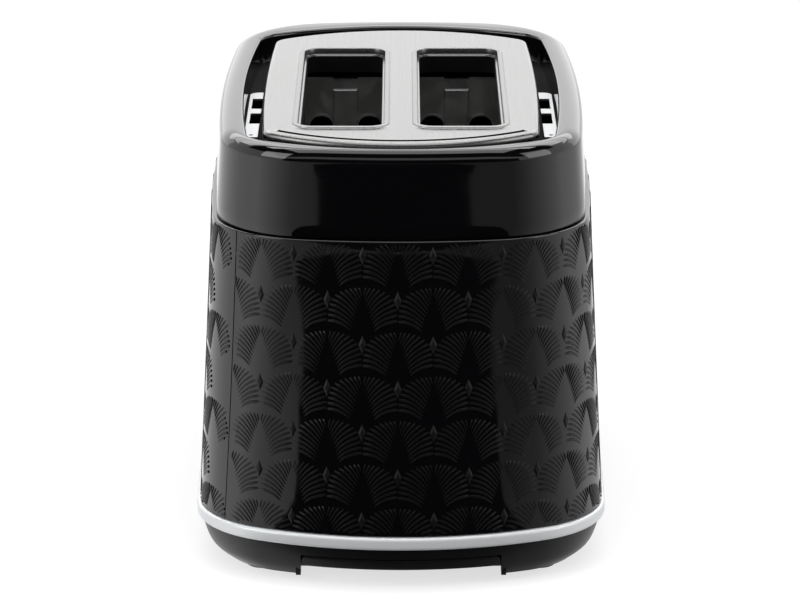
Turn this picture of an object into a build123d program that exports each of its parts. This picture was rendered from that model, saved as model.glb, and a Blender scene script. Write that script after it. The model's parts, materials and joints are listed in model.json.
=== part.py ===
from build123d import *
import math
import os

os.makedirs("parts", exist_ok=True)

# A two-slot toaster. X runs across it, Y along it and Z up from the table.
# The controls are on the +Y end, the crumb tray pulls out of the -Y end.
# Every length is in millimetres.

# Heights of the casing
foot_h = 4.0
ring_z = 20.0
ring_h = 6.0
seam_z = 157.0
shoulder_z = 189.5
rim_z = 196.0

# Plan of the casing at the trim ring, and what it loses on the way up to the rim
low_half_w = 90.9
low_half_l = 143.0
low_side_r = 3000.0
low_end_r = 150.0
top_half_w = 81.6
top_half_l = 132.2
top_side_r = 1300.0
top_end_r = 300.0
corner_r = 46.0
sleeve_proud = 1.6

# Walls, the clearances used everywhere, and how far a cutter runs past what it cuts
cover_wall = 2.5
sleeve_wall = 2.2
base_wall = 2.5
sheet = 1.0
fit_gap = 0.3
slide_gap = 0.4
pin_gap = 0.1
over = 10.0

# Rounded shoulder of the upper cover: how far it comes in at the sides and at the ends
shoulder_side = 8.0
shoulder_end = 2.6
shoulder_steps = 5

# Well in the upper cover, round the slot plate
well_y = -4.0
well_half_w = 71.0
well_half_l = 125.5
well_side_r = 1100.0
well_end_r = 118.0
well_corner_r = 17.0
well_floor_z = 183.0
well_wall = 1.8
spigot_h = 6.0
spigot_wall = 1.6
mouth_half_w = 54.0
rim_gap = 1.0

# Slot plate and its two slots
plate_y = -8.0
plate_half_w = 61.8
plate_half_l = 112.0
plate_side_r = 2100.0
plate_end_r = 92.0
plate_corner_r = 9.0
plate_z = 197.6
plate_edge_h = 3.2
plate_edge_round = 2.4
skirt_inset = 3.0
slot_x = 26.25
slot_y = -17.8
slot_w = 37.6
slot_l = 150.0
slot_corner_r = 7.0
lip_w = 2.3
lip_round = 1.05
lip_top_z = 198.6
lip_depth = 10.6

# Bright vent combs on the floor of the well: an outer rail with rungs that point inwards
vent_w = 6.0
vent_y0 = -58.0
vent_y1 = 29.0
vent_rail = 1.4
vent_gap_l = 20.0
vent_gap_ys = (-22.5, 6.5)
vent_tip_r = 4.5
vent_clear = 1.2
vent_screw_r = 1.0
vent_screw_in = 4.0

# Trim ring and base
ring_proud = 1.6
ring_wall = 3.4
ring_round = 2.16
base_steps = ((20.0, 1.2, 1.2), (14.0, 5.0, 2.6), (8.0, 11.0, 4.6), (foot_h, 17.5, 7.5))
foot_r = 8.0
foot_x = 61.0
foot_y = 104.0
foot_round = 1.2

# Crumb tray
tray_half_w = 43.6
tray_back_y = 66.0
tray_wall_h = 6.4
tray_face_z = 14.0
tray_face_l = 16.0
tray_mouth_l = 40.0
tray_notch_l = 24.0
rail_w = 2.2
rail_in = 12.0
hook_l = 26.0

# Oven: two end walls, two side shields, three heater cards
oven_half_l = 80.5
oven_half_w = 60.0
shield_x = 59.0
chassis_z = 20.0
flange_l = 11.0
wall_rise = 0.6
wall_notch_w = 11.5
wall_notch_h = 0.9
channel_w = 11.5
channel_h = 1.6
channel_z0 = 47.0
channel_z1 = 178.0
channel_round = 0.7
window_x = 11.5
window_w = 11.0
window_h = 24.0
window_z = 153.0
window_r = 5.0
window_lip = 1.2
window_lip_w = 0.8
shield_lift = 2.0
louvre_pitch = 24.0
louvre_count = 6
louvre_l = 16.0
louvre_h = 3.0
louvre_in = 12.0
card_x = 52.0
card_t = 1.0
card_z0 = 36.0
card_z1 = 176.0
ribbon_w = 1.6
ribbon_t = 0.4
ribbon_runs = 12
ribbon_margin = 8.0
screw_x = 49.5
screw_r = 1.55
screw_head_r = 3.2
screw_head_h = 2.5
screw_sunk = 1.5
post_r = 4.0

# Bread guides: wire cages that lean on the bread as it goes down
guide_x = 20.2
guide_wire_r = 0.9
guide_pin_r = 1.2
guide_pivot_z = 44.0
guide_top_z = 182.0
guide_wires = 7
guide_in = 5.0
guide_pin_out = 0.5

# Carriage
travel = 58.0
rack_z = 116.0
rack_h = 6.0
rack_t = 1.2
rack_tab_l = 24.0
rack_tab_w = 3.0
rack_tabs = 9
rack_in = 6.0
rack_tab_in = 8.0
bracket_y = 3.5
bracket_half_w = 31.0
bracket_h = 16.0
rod_x = 24.0
rod_y = 15.5
rod_r = 2.5
rod_drop = 2.0
shelf_l = 23.5
shelf_skirt = 12.0
slider_w = 10.0
slider_l = 13.0
slider_h = 12.0
spring_r = 4.0
spring_wire_r = 0.45
spring_turns = 14
magnet_half_w = 11.0
magnet_l = 14.0
pole_h = 4.2
pole_x = 4.0
pole_w = 4.0
armature_t = 1.5

# Control panel on the +Y end
panel_half_w = 34.0
panel_z0 = 34.0
panel_z1 = 147.0
panel_corner_r = 8.0
panel_proud = 0.6
panel_back = 3.8
panel_lap = 3.0
board_back = 110.0
board_t = 1.6
board_half_w = 33.0
board_hole_r = 1.2
board_screw_r = 1.1
board_head_r = 2.6
board_head_h = 1.8
post_out_r = 3.0
post_places = ((-29.0, 40.0), (29.0, 40.0), (-29.0, 140.0), (4.0, 140.0))
lever_x = 14.0
lever_z = 138.0
lever_h = 8.0
lever_t = 2.4
lever_gap = 1.0
lever_deep = 6.0
lever_slot_gap = 0.9
lever_slot_end = 1.5
lever_knob_w = 24.0
lever_knob_h = 16.0
lever_knob_d = 12.0
lever_knob_r = 5.0
lever_knob_round = 3.0
dial_z = 52.0
dial_r = 15.0
dial_d = 13.0
dial_skirt = 3.0
dial_ribs = 24
dial_rib_r = 0.7
dial_grip_in = 2.0
dial_round = 1.5
dial_wall = 3.0
pointer_w = 1.2
pointer_deep = 0.8
pointer_in = 4.0
shaft_r = 3.0
control_half = 9.0
control_h = 6.5
bush_h = 4.0
bush_r = 4.5
button_x = -16.0
button_zs = (86.0, 108.0, 130.0)
button_names = ("cancel", "reheat", "defrost")
button_r = 6.5
button_proud = 2.4
button_travel = 1.5
button_round = 1.0
flange_r = 8.0
flange_t = 1.5
stem_r = 2.5
switch_w = 6.0
switch_h = 4.0
plunger_r = 1.7
plunger_h = 1.0

# Mains inlet in the underside
gland_x = 38.0
gland_y = 92.0
gland_bore_r = 3.6
gland_r = 5.2
gland_flange_r = 7.4
gland_flange_h = 1.6
terminal_x = -38.0
terminal_y = 92.0
terminal_w = 30.0
terminal_l = 14.0
terminal_round = 1.5
pole_pitch = 9.0
pole_screw_r = 2.4
pole_screw_y = -3.0
pole_wire_r = 1.8
pole_wire_z = 5.0

ring_top = ring_z + ring_h
oven_y0 = slot_y - oven_half_l
oven_y1 = slot_y + oven_half_l
floor_z = foot_h + base_wall
oven_top = well_floor_z - well_wall


def circles_meet(half_w, half_l, across_r, end_r):
    # the point where a side arc and an end arc would meet without a rounded corner
    cx = half_w - across_r
    cy = half_l - end_r
    gap = math.hypot(cx, cy)
    along = (across_r**2 - end_r**2 + gap**2) / (2 * gap)
    off = math.sqrt(across_r**2 - along**2)
    ux, uy = -cx / gap, cy / gap
    return cx + along * ux - off * uy, along * uy + off * ux


def bowed_plan(half_w, half_l, across_r, end_r, round_r, z, y=0.0):
    # a closed plan with two long shallow sides, two bowed ends and round corners
    px, py = circles_meet(half_w, half_l, across_r, end_r)
    arcs = [
        ThreePointArc((-px, -py), (0, -half_l), (px, -py)),
        ThreePointArc((px, -py), (half_w, 0), (px, py)),
        ThreePointArc((px, py), (0, half_l), (-px, py)),
        ThreePointArc((-px, py), (-half_w, 0), (-px, -py)),
    ]
    face = make_face(arcs)
    face = fillet(face.vertices(), round_r)
    return Pos(0, y, z) * face


def share(z):
    # 0 at the trim ring, 1 at the rim
    return (z - ring_top) / (rim_z - ring_top)


def casing_size(z):
    # widths, lengths and the bow of the sides and ends change evenly with height
    t = share(z)
    half_w = low_half_w + (top_half_w - low_half_w) * t
    half_l = low_half_l + (top_half_l - low_half_l) * t
    side_bow = 1 / low_side_r + (1 / top_side_r - 1 / low_side_r) * t
    end_bow = 1 / low_end_r + (1 / top_end_r - 1 / low_end_r) * t
    return half_w, half_l, 1 / side_bow, 1 / end_bow


def casing_plan(z, inset=0.0, in_w=0.0, in_l=0.0):
    half_w, half_l, across_r, end_r = casing_size(z)
    return bowed_plan(
        half_w - inset - in_w,
        half_l - inset - in_l,
        across_r - inset,
        end_r - inset,
        corner_r - inset - (in_w + in_l) / 2,
        z,
    )


def casing(z0, z1, inset=0.0):
    # the tapering body between two heights, made smaller all round by inset
    return loft([casing_plan(z0, inset), casing_plan(z1, inset)], ruled=True)


def stand_off(z):
    # the lower sleeve stands further out than the casing's own taper, most of all at its top edge
    return sleeve_proud * (z - ring_top) / (seam_z - ring_top)


def sleeve_skin(z0, z1, inset=0.0):
    return loft([casing_plan(z0, inset - stand_off(z0)), casing_plan(z1, inset - stand_off(z1))], ruled=True)


def end_y(x, z, inset=0.0):
    # where the casing's +Y end is at a place x across and z up
    _, half_l, _, end_r = casing_size(z)
    return half_l - inset - (end_r - math.sqrt(end_r**2 - x**2))


def panel_y(x, z):
    # the face of the control panel, a little proud of the sleeve
    return end_y(x, z, -stand_off(z) - panel_proud)


def block(x0, x1, y0, y1, z0, z1):
    return Pos((x0 + x1) / 2, (y0 + y1) / 2, (z0 + z1) / 2) * Box(x1 - x0, y1 - y0, z1 - z0)


def rod_along_z(x, y, z0, z1, r):
    return Pos(x, y, (z0 + z1) / 2) * Cylinder(r, z1 - z0)


def rod_along_y(x, z, y0, y1, r):
    return Pos(x, (y0 + y1) / 2, z) * Rot(90, 0, 0) * Cylinder(r, y1 - y0)


def joined(pieces):
    whole = pieces[0]
    for piece in pieces[1:]:
        whole += piece
    return whole


# Casing
def well_plan(z, grow=0.0):
    return bowed_plan(
        well_half_w + grow,
        well_half_l + grow,
        well_side_r + grow,
        well_end_r + grow,
        well_corner_r + grow,
        z,
        well_y,
    )


def plate_plan(z, inset=0.0):
    return bowed_plan(
        plate_half_w - inset,
        plate_half_l - inset,
        plate_side_r - inset,
        plate_end_r - inset,
        plate_corner_r - inset / 2,
        z,
        plate_y,
    )


def rounded_casing():
    # straight sides, then a quarter of an ellipse that is wide at the sides and narrow at the ends
    rise = rim_z - shoulder_z
    sections = [casing_plan(seam_z)]
    for step in range(shoulder_steps + 1):
        turn = math.radians(90 * step / shoulder_steps)
        come_in = 1 - math.cos(turn)
        plan = casing_plan(shoulder_z, 0.0, shoulder_side * come_in, shoulder_end * come_in)
        sections.append(Pos(0, 0, rise * math.sin(turn)) * plan)
    return loft(sections, ruled=True)


def cover_spigot():
    # a band inside the cover's wall that goes down into the sleeve
    inner = sleeve_wall + fit_gap + spigot_wall
    band = casing(seam_z, seam_z + spigot_h, cover_wall / 2)
    band += casing(seam_z - spigot_h, seam_z, sleeve_wall + 2 * fit_gap)
    return band - casing(seam_z - spigot_h - over, seam_z + spigot_h + over, inner)


def upper_cover():
    outer = rounded_casing()
    hollow = casing(seam_z - over, shoulder_z, cover_wall)
    well = extrude(well_plan(oven_top, well_wall), rim_z - rim_gap - oven_top)
    recess = extrude(well_plan(well_floor_z), rim_z + over - well_floor_z)
    mouth = block(
        -mouth_half_w,
        mouth_half_w,
        oven_y0 - sheet - fit_gap,
        oven_y1 + sheet + fit_gap,
        well_floor_z - over,
        well_floor_z + over,
    )
    cover = outer - hollow + well - recess - mouth + cover_spigot()
    for side in (-1, 1):
        for y in vent_gap_ys:
            cover -= vent_gap(side, y)
    return cover


def vent_edge():
    # the comb's outer edge clears the well's wall, which bows in towards its ends
    return well_half_w - vent_clear


def vent_gap(side, y):
    x0, x1 = sorted((side * (vent_edge() - vent_w), side * (vent_edge() - vent_rail)))
    half = vent_gap_l / 2
    return block(x0, x1, y - half, y + half, well_floor_z - over, well_floor_z + over)


def vent_strip(side):
    x0, x1 = sorted((side * (vent_edge() - vent_w), side * vent_edge()))
    comb = block(x0, x1, vent_y0, vent_y1, well_floor_z, well_floor_z + sheet)
    tip = comb.edges().filter_by(Axis.Z).sort_by(Axis.Y)[-2:].sort_by(Axis.X)[0 if side < 0 else -1]
    comb = fillet(tip, vent_tip_r)
    for y in vent_gap_ys:
        comb -= vent_gap(side, y)
    x = side * (vent_edge() - vent_w / 2)
    return comb - rod_along_z(x, vent_y0 + vent_screw_in, well_floor_z - over, well_floor_z + over, vent_screw_r)


def slot_plate():
    edge_z = plate_z - plate_edge_h
    top = extrude(plate_plan(edge_z), plate_edge_h)
    top = fillet(top.faces().sort_by(Axis.Z)[-1].edges(), plate_edge_round)
    top -= extrude(plate_plan(edge_z - over, sheet), plate_edge_h + over - sheet)
    skirt = extrude(plate_plan(well_floor_z, skirt_inset), plate_z - sheet - well_floor_z)
    skirt -= extrude(plate_plan(well_floor_z - over, skirt_inset + sheet), plate_z)
    plate = top + skirt
    for side in (-1, 1):
        place = Pos(side * slot_x, slot_y, lip_top_z - lip_depth)
        outer = RectangleRounded(slot_w + 2 * lip_w, slot_l + 2 * lip_w, slot_corner_r + lip_w)
        clear = RectangleRounded(slot_w, slot_l, slot_corner_r)
        lip = extrude(outer, lip_depth) - extrude(clear, lip_depth)
        lip = fillet(lip.faces().sort_by(Axis.Z)[-1].edges(), lip_round)
        plate = plate - place * extrude(outer, 2 * lip_depth) + place * lip
    return plate


def body_sleeve():
    sleeve = sleeve_skin(ring_top, seam_z) - casing(ring_top - sheet, seam_z + sheet, sleeve_wall)
    return sleeve - panel_prism(0.0)


def trim_ring():
    ring = extrude(casing_plan(ring_top, -ring_proud), -ring_h)
    ring = fillet(ring.faces().filter_by(Axis.Z).edges(), ring_round)
    return ring - Pos(0, 0, over) * extrude(casing_plan(ring_top, ring_wall), -ring_h - 2 * over)


def bowl(inset, lift=0.0):
    sections = []
    for z, in_w, in_l in base_steps:
        plan = casing_plan(ring_top, inset, in_w, in_l)
        sections.append(Pos(0, 0, z + lift - ring_top) * plan)
    return loft(sections)


def tray_rail(side):
    x0 = side * (tray_half_w + slide_gap)
    x1 = side * (tray_half_w + slide_gap + rail_w)
    y0 = -low_half_l + rail_in
    rail = block(min(x0, x1), max(x0, x1), y0, tray_back_y + slide_gap, floor_z - sheet, tray_face_z)
    return rail + block(min(x0, x1), max(x0, x1), y0, y0 + hook_l, foot_h, tray_face_z)


def base():
    shell = bowl(0.0)
    cavity = bowl(base_wall, base_wall)
    shell -= cavity
    opening = tray_half_w + slide_gap
    outside = -low_half_l - over
    shell -= block(-opening, opening, outside, -low_half_l + tray_mouth_l, floor_z, tray_face_z + slide_gap)
    shell -= block(-opening, opening, outside, -low_half_l + tray_notch_l, 0, floor_z + fit_gap)
    shell += tray_rail(-1) + tray_rail(1)
    stop_y = tray_back_y + slide_gap
    low = floor_z - sheet
    shell += block(-opening - rail_w, opening + rail_w, stop_y, stop_y + rail_w, low, tray_face_z)
    for x in (-screw_x, screw_x):
        for y in screw_places():
            shell += rod_along_z(x, y, low, chassis_z, post_r)
    for x in (-rod_x, rod_x):
        shell += rod_along_z(x, oven_y1 + rod_y, low, chassis_z, post_r)
    y0 = oven_y1 + rod_y - magnet_l / 2
    shell += block(-magnet_half_w, magnet_half_w, y0, y0 + magnet_l, low, chassis_z)
    for x in (-screw_x, screw_x):
        for y in screw_places():
            shell -= rod_along_z(x, y, 0, chassis_z + over, screw_r + pin_gap)
            shell -= rod_along_z(x, y, 0, foot_h + screw_sunk + screw_head_h, screw_head_r + fit_gap)
    return shell - rod_along_z(gland_x, gland_y, 0, floor_z + over, gland_r + pin_gap)


def screw_places():
    return (oven_y0 - flange_l / 2 - sheet, oven_y1 + flange_l / 2 + sheet)


def chassis_screws():
    screws = []
    for x in (-screw_x, screw_x):
        for y in screw_places():
            head_z = foot_h + screw_sunk
            head = rod_along_z(x, y, head_z, head_z + screw_head_h, screw_head_r)
            screws.append(head + rod_along_z(x, y, head_z + screw_head_h, chassis_z + 4 * sheet, screw_r))
    return joined(screws)


def feet():
    pads = []
    for x in (-foot_x, foot_x):
        for y in (-foot_y, foot_y):
            pad = Pos(x, y, foot_h / 2) * Cylinder(foot_r, foot_h)
            pads.append(fillet(pad.faces().sort_by(Axis.Z)[0].edges(), foot_round))
    return joined(pads)


# Crumb tray
def crumb_tray():
    y0 = -low_half_l + tray_face_l
    z0 = floor_z + fit_gap
    tray = block(-tray_half_w, tray_half_w, y0, tray_back_y, z0, z0 + tray_wall_h)
    inner = tray_half_w - sheet
    return tray - block(-inner, inner, y0 + sheet, tray_back_y - sheet, z0 + sheet, z0 + tray_wall_h + over)


def tray_front():
    y1 = -low_half_l + tray_face_l
    window = block(-tray_half_w, tray_half_w, -low_half_l - over, y1, floor_z + fit_gap, tray_face_z)
    return window & bowl(0.0)


# Oven
def end_wall(y0, y1, into, flange_y0, flange_y1):
    # a pressed sheet between two heights; into is the side that its pressings stand out on, -1 or 1
    wall = block(-oven_half_w, oven_half_w, y0, y1, chassis_z, oven_top)
    rise = mouth_half_w - fit_gap
    wall += block(-rise, rise, y0, y1, oven_top, well_floor_z + wall_rise)
    wall += block(-oven_half_w, oven_half_w, flange_y0, flange_y1, chassis_z, chassis_z + sheet)
    for side in (-1, 1):
        x = side * slot_x
        face = y0 if into < 0 else y1
        wall += channel_outside(x, face, into)
        for hand in (-1, 1):
            wall += window_rim(x + hand * window_x, face, into)
        wall -= channel_inside(x, face, into)
        for hand in (-1, 1):
            wall -= window_bar(x + hand * window_x, (y0 + y1) / 2, over, 0.0)
        half = wall_notch_w / 2
        wall -= block(x - half, x + half, y0 - over, y1 + over, well_floor_z + wall_rise - wall_notch_h, rim_z)
        for x in guide_places(side):
            wall -= rod_along_y(x, guide_pivot_z, y0 - over, y1 + over, guide_pin_r + pin_gap)
        for y in screw_places():
            wall -= rod_along_z(side * screw_x, y, chassis_z - over, chassis_z + over, screw_r + pin_gap)
    return wall


def channel_outside(x, face, into):
    y0, y1 = sorted((face, face + into * channel_h))
    bar = block(x - channel_w / 2, x + channel_w / 2, y0, y1, channel_z0, channel_z1)
    front = bar.faces().sort_by(Axis.Y)[0 if into < 0 else -1]
    return fillet(front.edges(), channel_round)


def channel_inside(x, face, into):
    # the pressing is as thick as the sheet, so it is hollow from behind
    half = channel_w / 2 - sheet
    y0, y1 = sorted((face + into * (channel_h - sheet), face - into * over))
    return block(x - half, x + half, y0, y1, channel_z0 + sheet, channel_z1 - sheet)


def window_bar(x, y, reach, grow):
    shape = RectangleRounded(window_w + 2 * grow, window_h + 2 * grow, window_r + grow)
    return Pos(x, y, window_z) * Rot(90, 0, 0) * extrude(shape, reach, both=True)


def window_rim(x, face, into):
    middle = face + into * window_lip / 2
    return window_bar(x, middle, window_lip / 2, window_lip_w)


def guide_places(side):
    return (side * (slot_x - guide_x), side * (slot_x + guide_x))


def rear_bulkhead():
    return end_wall(oven_y0 - sheet, oven_y0, 1, oven_y0 - sheet - flange_l, oven_y0)


def front_bulkhead():
    wall = end_wall(oven_y1, oven_y1 + sheet, -1, oven_y1, oven_y1 + sheet + flange_l)
    for side in (-1, 1):
        x = side * slot_x
        low = rack_z - rack_h - travel - lever_gap
        wall -= block(x - rack_t, x + rack_t, oven_y1 - over, oven_y1 + over, low, rack_z + lever_gap)
    return wall


def heat_shield(side):
    x0, x1 = sorted((side * shield_x, side * (shield_x + sheet)))
    shield = block(x0, x1, oven_y0, oven_y1, chassis_z + shield_lift, oven_top)
    half_l = louvre_l / 2
    half_h = louvre_h / 2
    for z in (chassis_z + louvre_in, oven_top - louvre_in):
        for i in range(louvre_count):
            y = slot_y + (i - (louvre_count - 1) / 2) * louvre_pitch
            shield -= block(x0 - over, x1 + over, y - half_l, y + half_l, z - half_h, z + half_h)
    return shield


def heater_card(x):
    return block(x - card_t / 2, x + card_t / 2, oven_y0, oven_y1, card_z0, card_z1)


def ribbon_on(x, side):
    # one ribbon that runs to and fro along the card from its bottom to its top
    x0, x1 = sorted((x + side * card_t / 2, x + side * (card_t / 2 + ribbon_t)))
    y0 = oven_y0 + ribbon_margin
    y1 = oven_y1 - ribbon_margin
    pitch = (card_z1 - card_z0 - 2 * ribbon_margin) / (ribbon_runs - 1)
    pieces = []
    for i in range(ribbon_runs):
        z = card_z0 + ribbon_margin + i * pitch
        pieces.append(block(x0, x1, y0, y1, z - ribbon_w / 2, z + ribbon_w / 2))
        if i + 1 < ribbon_runs:
            y = y1 - ribbon_w if i % 2 else y0
            pieces.append(block(x0, x1, y, y + ribbon_w, z - ribbon_w / 2, z + pitch))
    return joined(pieces)


# Bread guides
def bread_guide(x):
    y0 = oven_y0 + guide_in
    y1 = oven_y1 - guide_in
    pin_l = sheet + guide_pin_out
    pieces = [rod_along_y(x, guide_pivot_z, oven_y0 - pin_l, oven_y1 + pin_l, guide_pin_r)]
    pieces.append(rod_along_y(x, guide_top_z, y0, y1, guide_wire_r))
    middle = (guide_pivot_z + guide_top_z) / 2
    pieces.append(rod_along_y(x, middle, y0, y1, guide_wire_r))
    step = (y1 - y0 - 2 * guide_wire_r) / (guide_wires - 1)
    for i in range(guide_wires):
        y = y0 + guide_wire_r + i * step
        pieces.append(rod_along_z(x, y, guide_pivot_z, guide_top_z, guide_wire_r))
    return joined(pieces)


# Carriage
def bread_rack(side):
    x = side * slot_x
    y0 = oven_y0 + rack_in
    y1 = oven_y1 + sheet + bracket_y
    rack = block(x - rack_t / 2, x + rack_t / 2, y0, y1, rack_z - rack_h, rack_z)
    first = y0 + rack_tab_w / 2
    last = oven_y1 - rack_tab_in
    for i in range(rack_tabs):
        y = first + i * (last - first) / (rack_tabs - 1)
        half = rack_tab_l / 2
        rack += block(x - half, x + half, y - rack_tab_w / 2, y + rack_tab_w / 2, rack_z - rack_t, rack_z)
    return rack


def bracket_bottom():
    return rack_z - rack_h - rack_tab_w


def carriage_bracket():
    y0 = oven_y1 + sheet + bracket_y
    z0 = bracket_bottom()
    z1 = z0 + bracket_h
    plate = block(-bracket_half_w, bracket_half_w, y0, y0 + sheet, z0, z1)
    lug = spring_r + sheet
    plate += block(-lug, lug, y0, oven_y1 + rod_y + lug, z1 - 2 * sheet, z1)
    arm_z0 = lever_z - lever_h / 2
    half_arm = lever_h / 2
    plate += block(lever_x - half_arm, lever_x + half_arm, y0, y0 + sheet, z1, lever_z + half_arm)
    reach = lever_knob_y() + lever_deep
    half = lever_t / 2
    plate += block(lever_x - half, lever_x + half, y0, reach, arm_z0, lever_z + lever_h / 2)
    return plate


def carriage_sliders():
    y0 = oven_y1 + sheet + bracket_y + sheet
    z0 = bracket_bottom() + (bracket_h - slider_h) / 2
    sliders = []
    for x in (-rod_x, rod_x):
        body = block(x - slider_w / 2, x + slider_w / 2, y0, y0 + slider_l, z0, z0 + slider_h)
        bore = rod_along_z(x, oven_y1 + rod_y, z0 - over, z0 + slider_h + over, rod_r + pin_gap)
        sliders.append(body - bore)
    return joined(sliders)


def armature_plate():
    y = oven_y1 + rod_y
    y0 = oven_y1 + sheet + bracket_y
    z1 = bracket_bottom()
    half = magnet_half_w - 2 * sheet
    return block(-half, half, y0, y + magnet_l / 2, z1 - armature_t, z1)


def latch_magnet():
    y = oven_y1 + rod_y
    z0 = chassis_z + sheet
    z1 = bracket_bottom() - armature_t - travel - fit_gap
    half = magnet_l / 2 - 2 * sheet
    coil = Pos(0, y, (z0 + z1 - pole_h) / 2) * Box(2 * magnet_half_w, magnet_l, z1 - pole_h - z0)
    coil = fillet(coil.edges().filter_by(Axis.Z), 3 * sheet)
    for side in (-1, 1):
        x0, x1 = sorted((side * pole_x, side * (pole_x + pole_w)))
        coil += block(x0, x1, y - half, y + half, z1 - pole_h, z1)
    return coil


def guide_rods():
    top = oven_top - rod_drop
    rods = [rod_along_z(x, oven_y1 + rod_y, chassis_z, top, rod_r) for x in (-rod_x, rod_x)]
    return joined(rods)


def rod_bracket():
    top = oven_top - rod_drop
    y0 = oven_y1 + sheet
    shelf = block(-bracket_half_w, bracket_half_w, y0, y0 + shelf_l, top, top + sheet)
    return shelf + block(-bracket_half_w, bracket_half_w, y0, y0 + sheet, top - shelf_skirt, top)


def return_spring():
    z0 = bracket_bottom() + bracket_h + spring_wire_r
    z1 = oven_top - rod_drop - spring_wire_r
    path = Helix((z1 - z0) / spring_turns, z1 - z0, spring_r)
    start = Plane(origin=path @ 0, z_dir=path % 0)
    wire = sweep(start * Circle(spring_wire_r), path, is_frenet=True)
    return Pos(0, oven_y1 + rod_y, z0) * wire


# Control end
def panel_prism(shrink):
    width = 2 * (panel_half_w - shrink)
    height = panel_z1 - panel_z0 - 2 * shrink
    shape = RectangleRounded(width, height, panel_corner_r - shrink / 2)
    reach = low_half_l - board_back + over
    place = Pos(0, low_half_l, (panel_z0 + panel_z1) / 2) * Rot(90, 0, 0)
    return place * extrude(shape, reach, both=True)


def control_panel():
    z0 = panel_z0 - panel_lap
    z1 = panel_z1 + panel_lap
    behind = casing(z0 - over, z1 + over, panel_back)
    skin = sleeve_skin(z0, z1, -panel_proud) - behind
    lap = casing(z0, z1, sleeve_wall + fit_gap) - behind
    panel = (skin & panel_prism(fit_gap)) + (lap & panel_prism(-panel_lap))
    for x, z in post_places:
        panel += rod_along_y(x, z, board_back + board_t, end_y(x, z, panel_back - sheet), post_out_r)
    slot_low = lever_z - lever_h / 2 - travel - lever_slot_end
    slot_high = lever_z + lever_h / 2 + lever_slot_end
    half = lever_t / 2 + lever_slot_gap
    outside = low_half_l + over
    panel -= block(lever_x - half, lever_x + half, board_back, outside, slot_low, slot_high)
    panel -= rod_along_y(0, dial_z, board_back + over, outside, shaft_r + lever_gap)
    for z in button_zs:
        panel -= rod_along_y(button_x, z, board_back + over, outside, button_r + fit_gap)
    return panel


def control_board():
    y0 = board_back
    step_z = dial_z + dial_r + sheet
    board = block(-board_half_w, board_half_w, y0, y0 + board_t, panel_z0 + 2 * sheet, step_z)
    board += block(-board_half_w, lever_x - lever_deep, y0, y0 + board_t, step_z, panel_z1 - lever_deep)
    for x, z in post_places:
        board -= rod_along_y(x, z, y0 - over, y0 + over, board_hole_r)
    return board


def board_screws():
    screws = []
    for x, z in post_places:
        screws.append(rod_along_y(x, z, board_back - board_head_h, board_back, board_head_r))
        screws[-1] += rod_along_y(x, z, board_back, board_back + board_t, board_screw_r)
    return joined(screws)


def browning_control():
    y0 = board_back + board_t
    y1 = y0 + control_h
    body = block(-control_half, control_half, y0, y1, dial_z - control_half, dial_z + control_half)
    body += rod_along_y(0, dial_z, y1, y1 + bush_h, bush_r)
    return body - rod_along_y(0, dial_z, y0 + sheet, y1 + bush_h + over, shaft_r + pin_gap)


def tact_switches():
    y0 = board_back + board_t
    half = switch_w / 2
    switches = []
    for z in button_zs:
        body = block(button_x - half, button_x + half, y0, y0 + switch_h, z - half, z + half)
        plunger = rod_along_y(button_x, z, y0 + switch_h, y0 + switch_h + plunger_h, plunger_r)
        switches.append(body + plunger)
    return joined(switches)


def dial_y():
    return panel_y(0, dial_z - dial_r) + 2 * fit_gap


def browning_knob():
    y0 = dial_y()
    skirt = rod_along_y(0, dial_z, y0, y0 + dial_skirt, dial_r)
    y1 = y0 + dial_d
    grip_r = dial_r - dial_grip_in
    grip = rod_along_y(0, dial_z, y0 + dial_skirt, y1, grip_r)
    grip = fillet(grip.faces().sort_by(Axis.Y)[-1].edges(), dial_round)
    for i in range(dial_ribs):
        turn = 360 * i / dial_ribs
        groove = rod_along_y(grip_r + dial_rib_r / 2, 0, y0 + dial_skirt + sheet, y1 + over, dial_rib_r)
        grip -= Pos(0, 0, dial_z) * Rot(0, turn, 0) * groove
    half = pointer_w / 2
    grip -= block(-half, half, y1 - pointer_deep, y1 + over, dial_z + pointer_in, dial_z + dial_r)
    return skirt + grip - rod_along_y(0, dial_z, y0 - over, y1 - dial_wall, shaft_r)


def knob_shaft():
    return rod_along_y(0, dial_z, board_back + board_t + 2 * sheet, dial_y() + dial_d - dial_wall, shaft_r)


def button(z):
    outer = panel_y(button_x, z) + button_proud
    seat = end_y(abs(button_x) + flange_r, z + flange_r, panel_back) - fit_gap
    cap = rod_along_y(button_x, z, seat - flange_t, outer, button_r)
    cap = fillet(cap.faces().sort_by(Axis.Y)[-1].edges(), button_round)
    cap += rod_along_y(button_x, z, seat - flange_t, seat, flange_r)
    start = board_back + board_t + switch_h + plunger_h + button_travel + fit_gap
    return cap + rod_along_y(button_x, z, start, seat - flange_t, stem_r)


def lever_knob_y():
    low = lever_z - lever_knob_h / 2 - travel
    return panel_y(0, low) + lever_gap


def lever_knob():
    y0 = lever_knob_y()
    centre = Pos(lever_x, y0 + lever_knob_d / 2, lever_z)
    knob = centre * Box(lever_knob_w, lever_knob_d, lever_knob_h)
    knob = fillet(knob.edges().filter_by(Axis.Y), lever_knob_r)
    knob = fillet(knob.faces().sort_by(Axis.Y)[-1].edges(), lever_knob_round)
    half = lever_t / 2
    z0 = lever_z - lever_h / 2
    return knob - block(lever_x - half, lever_x + half, y0 - over, y0 + lever_deep, z0, z0 + lever_h)


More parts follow.
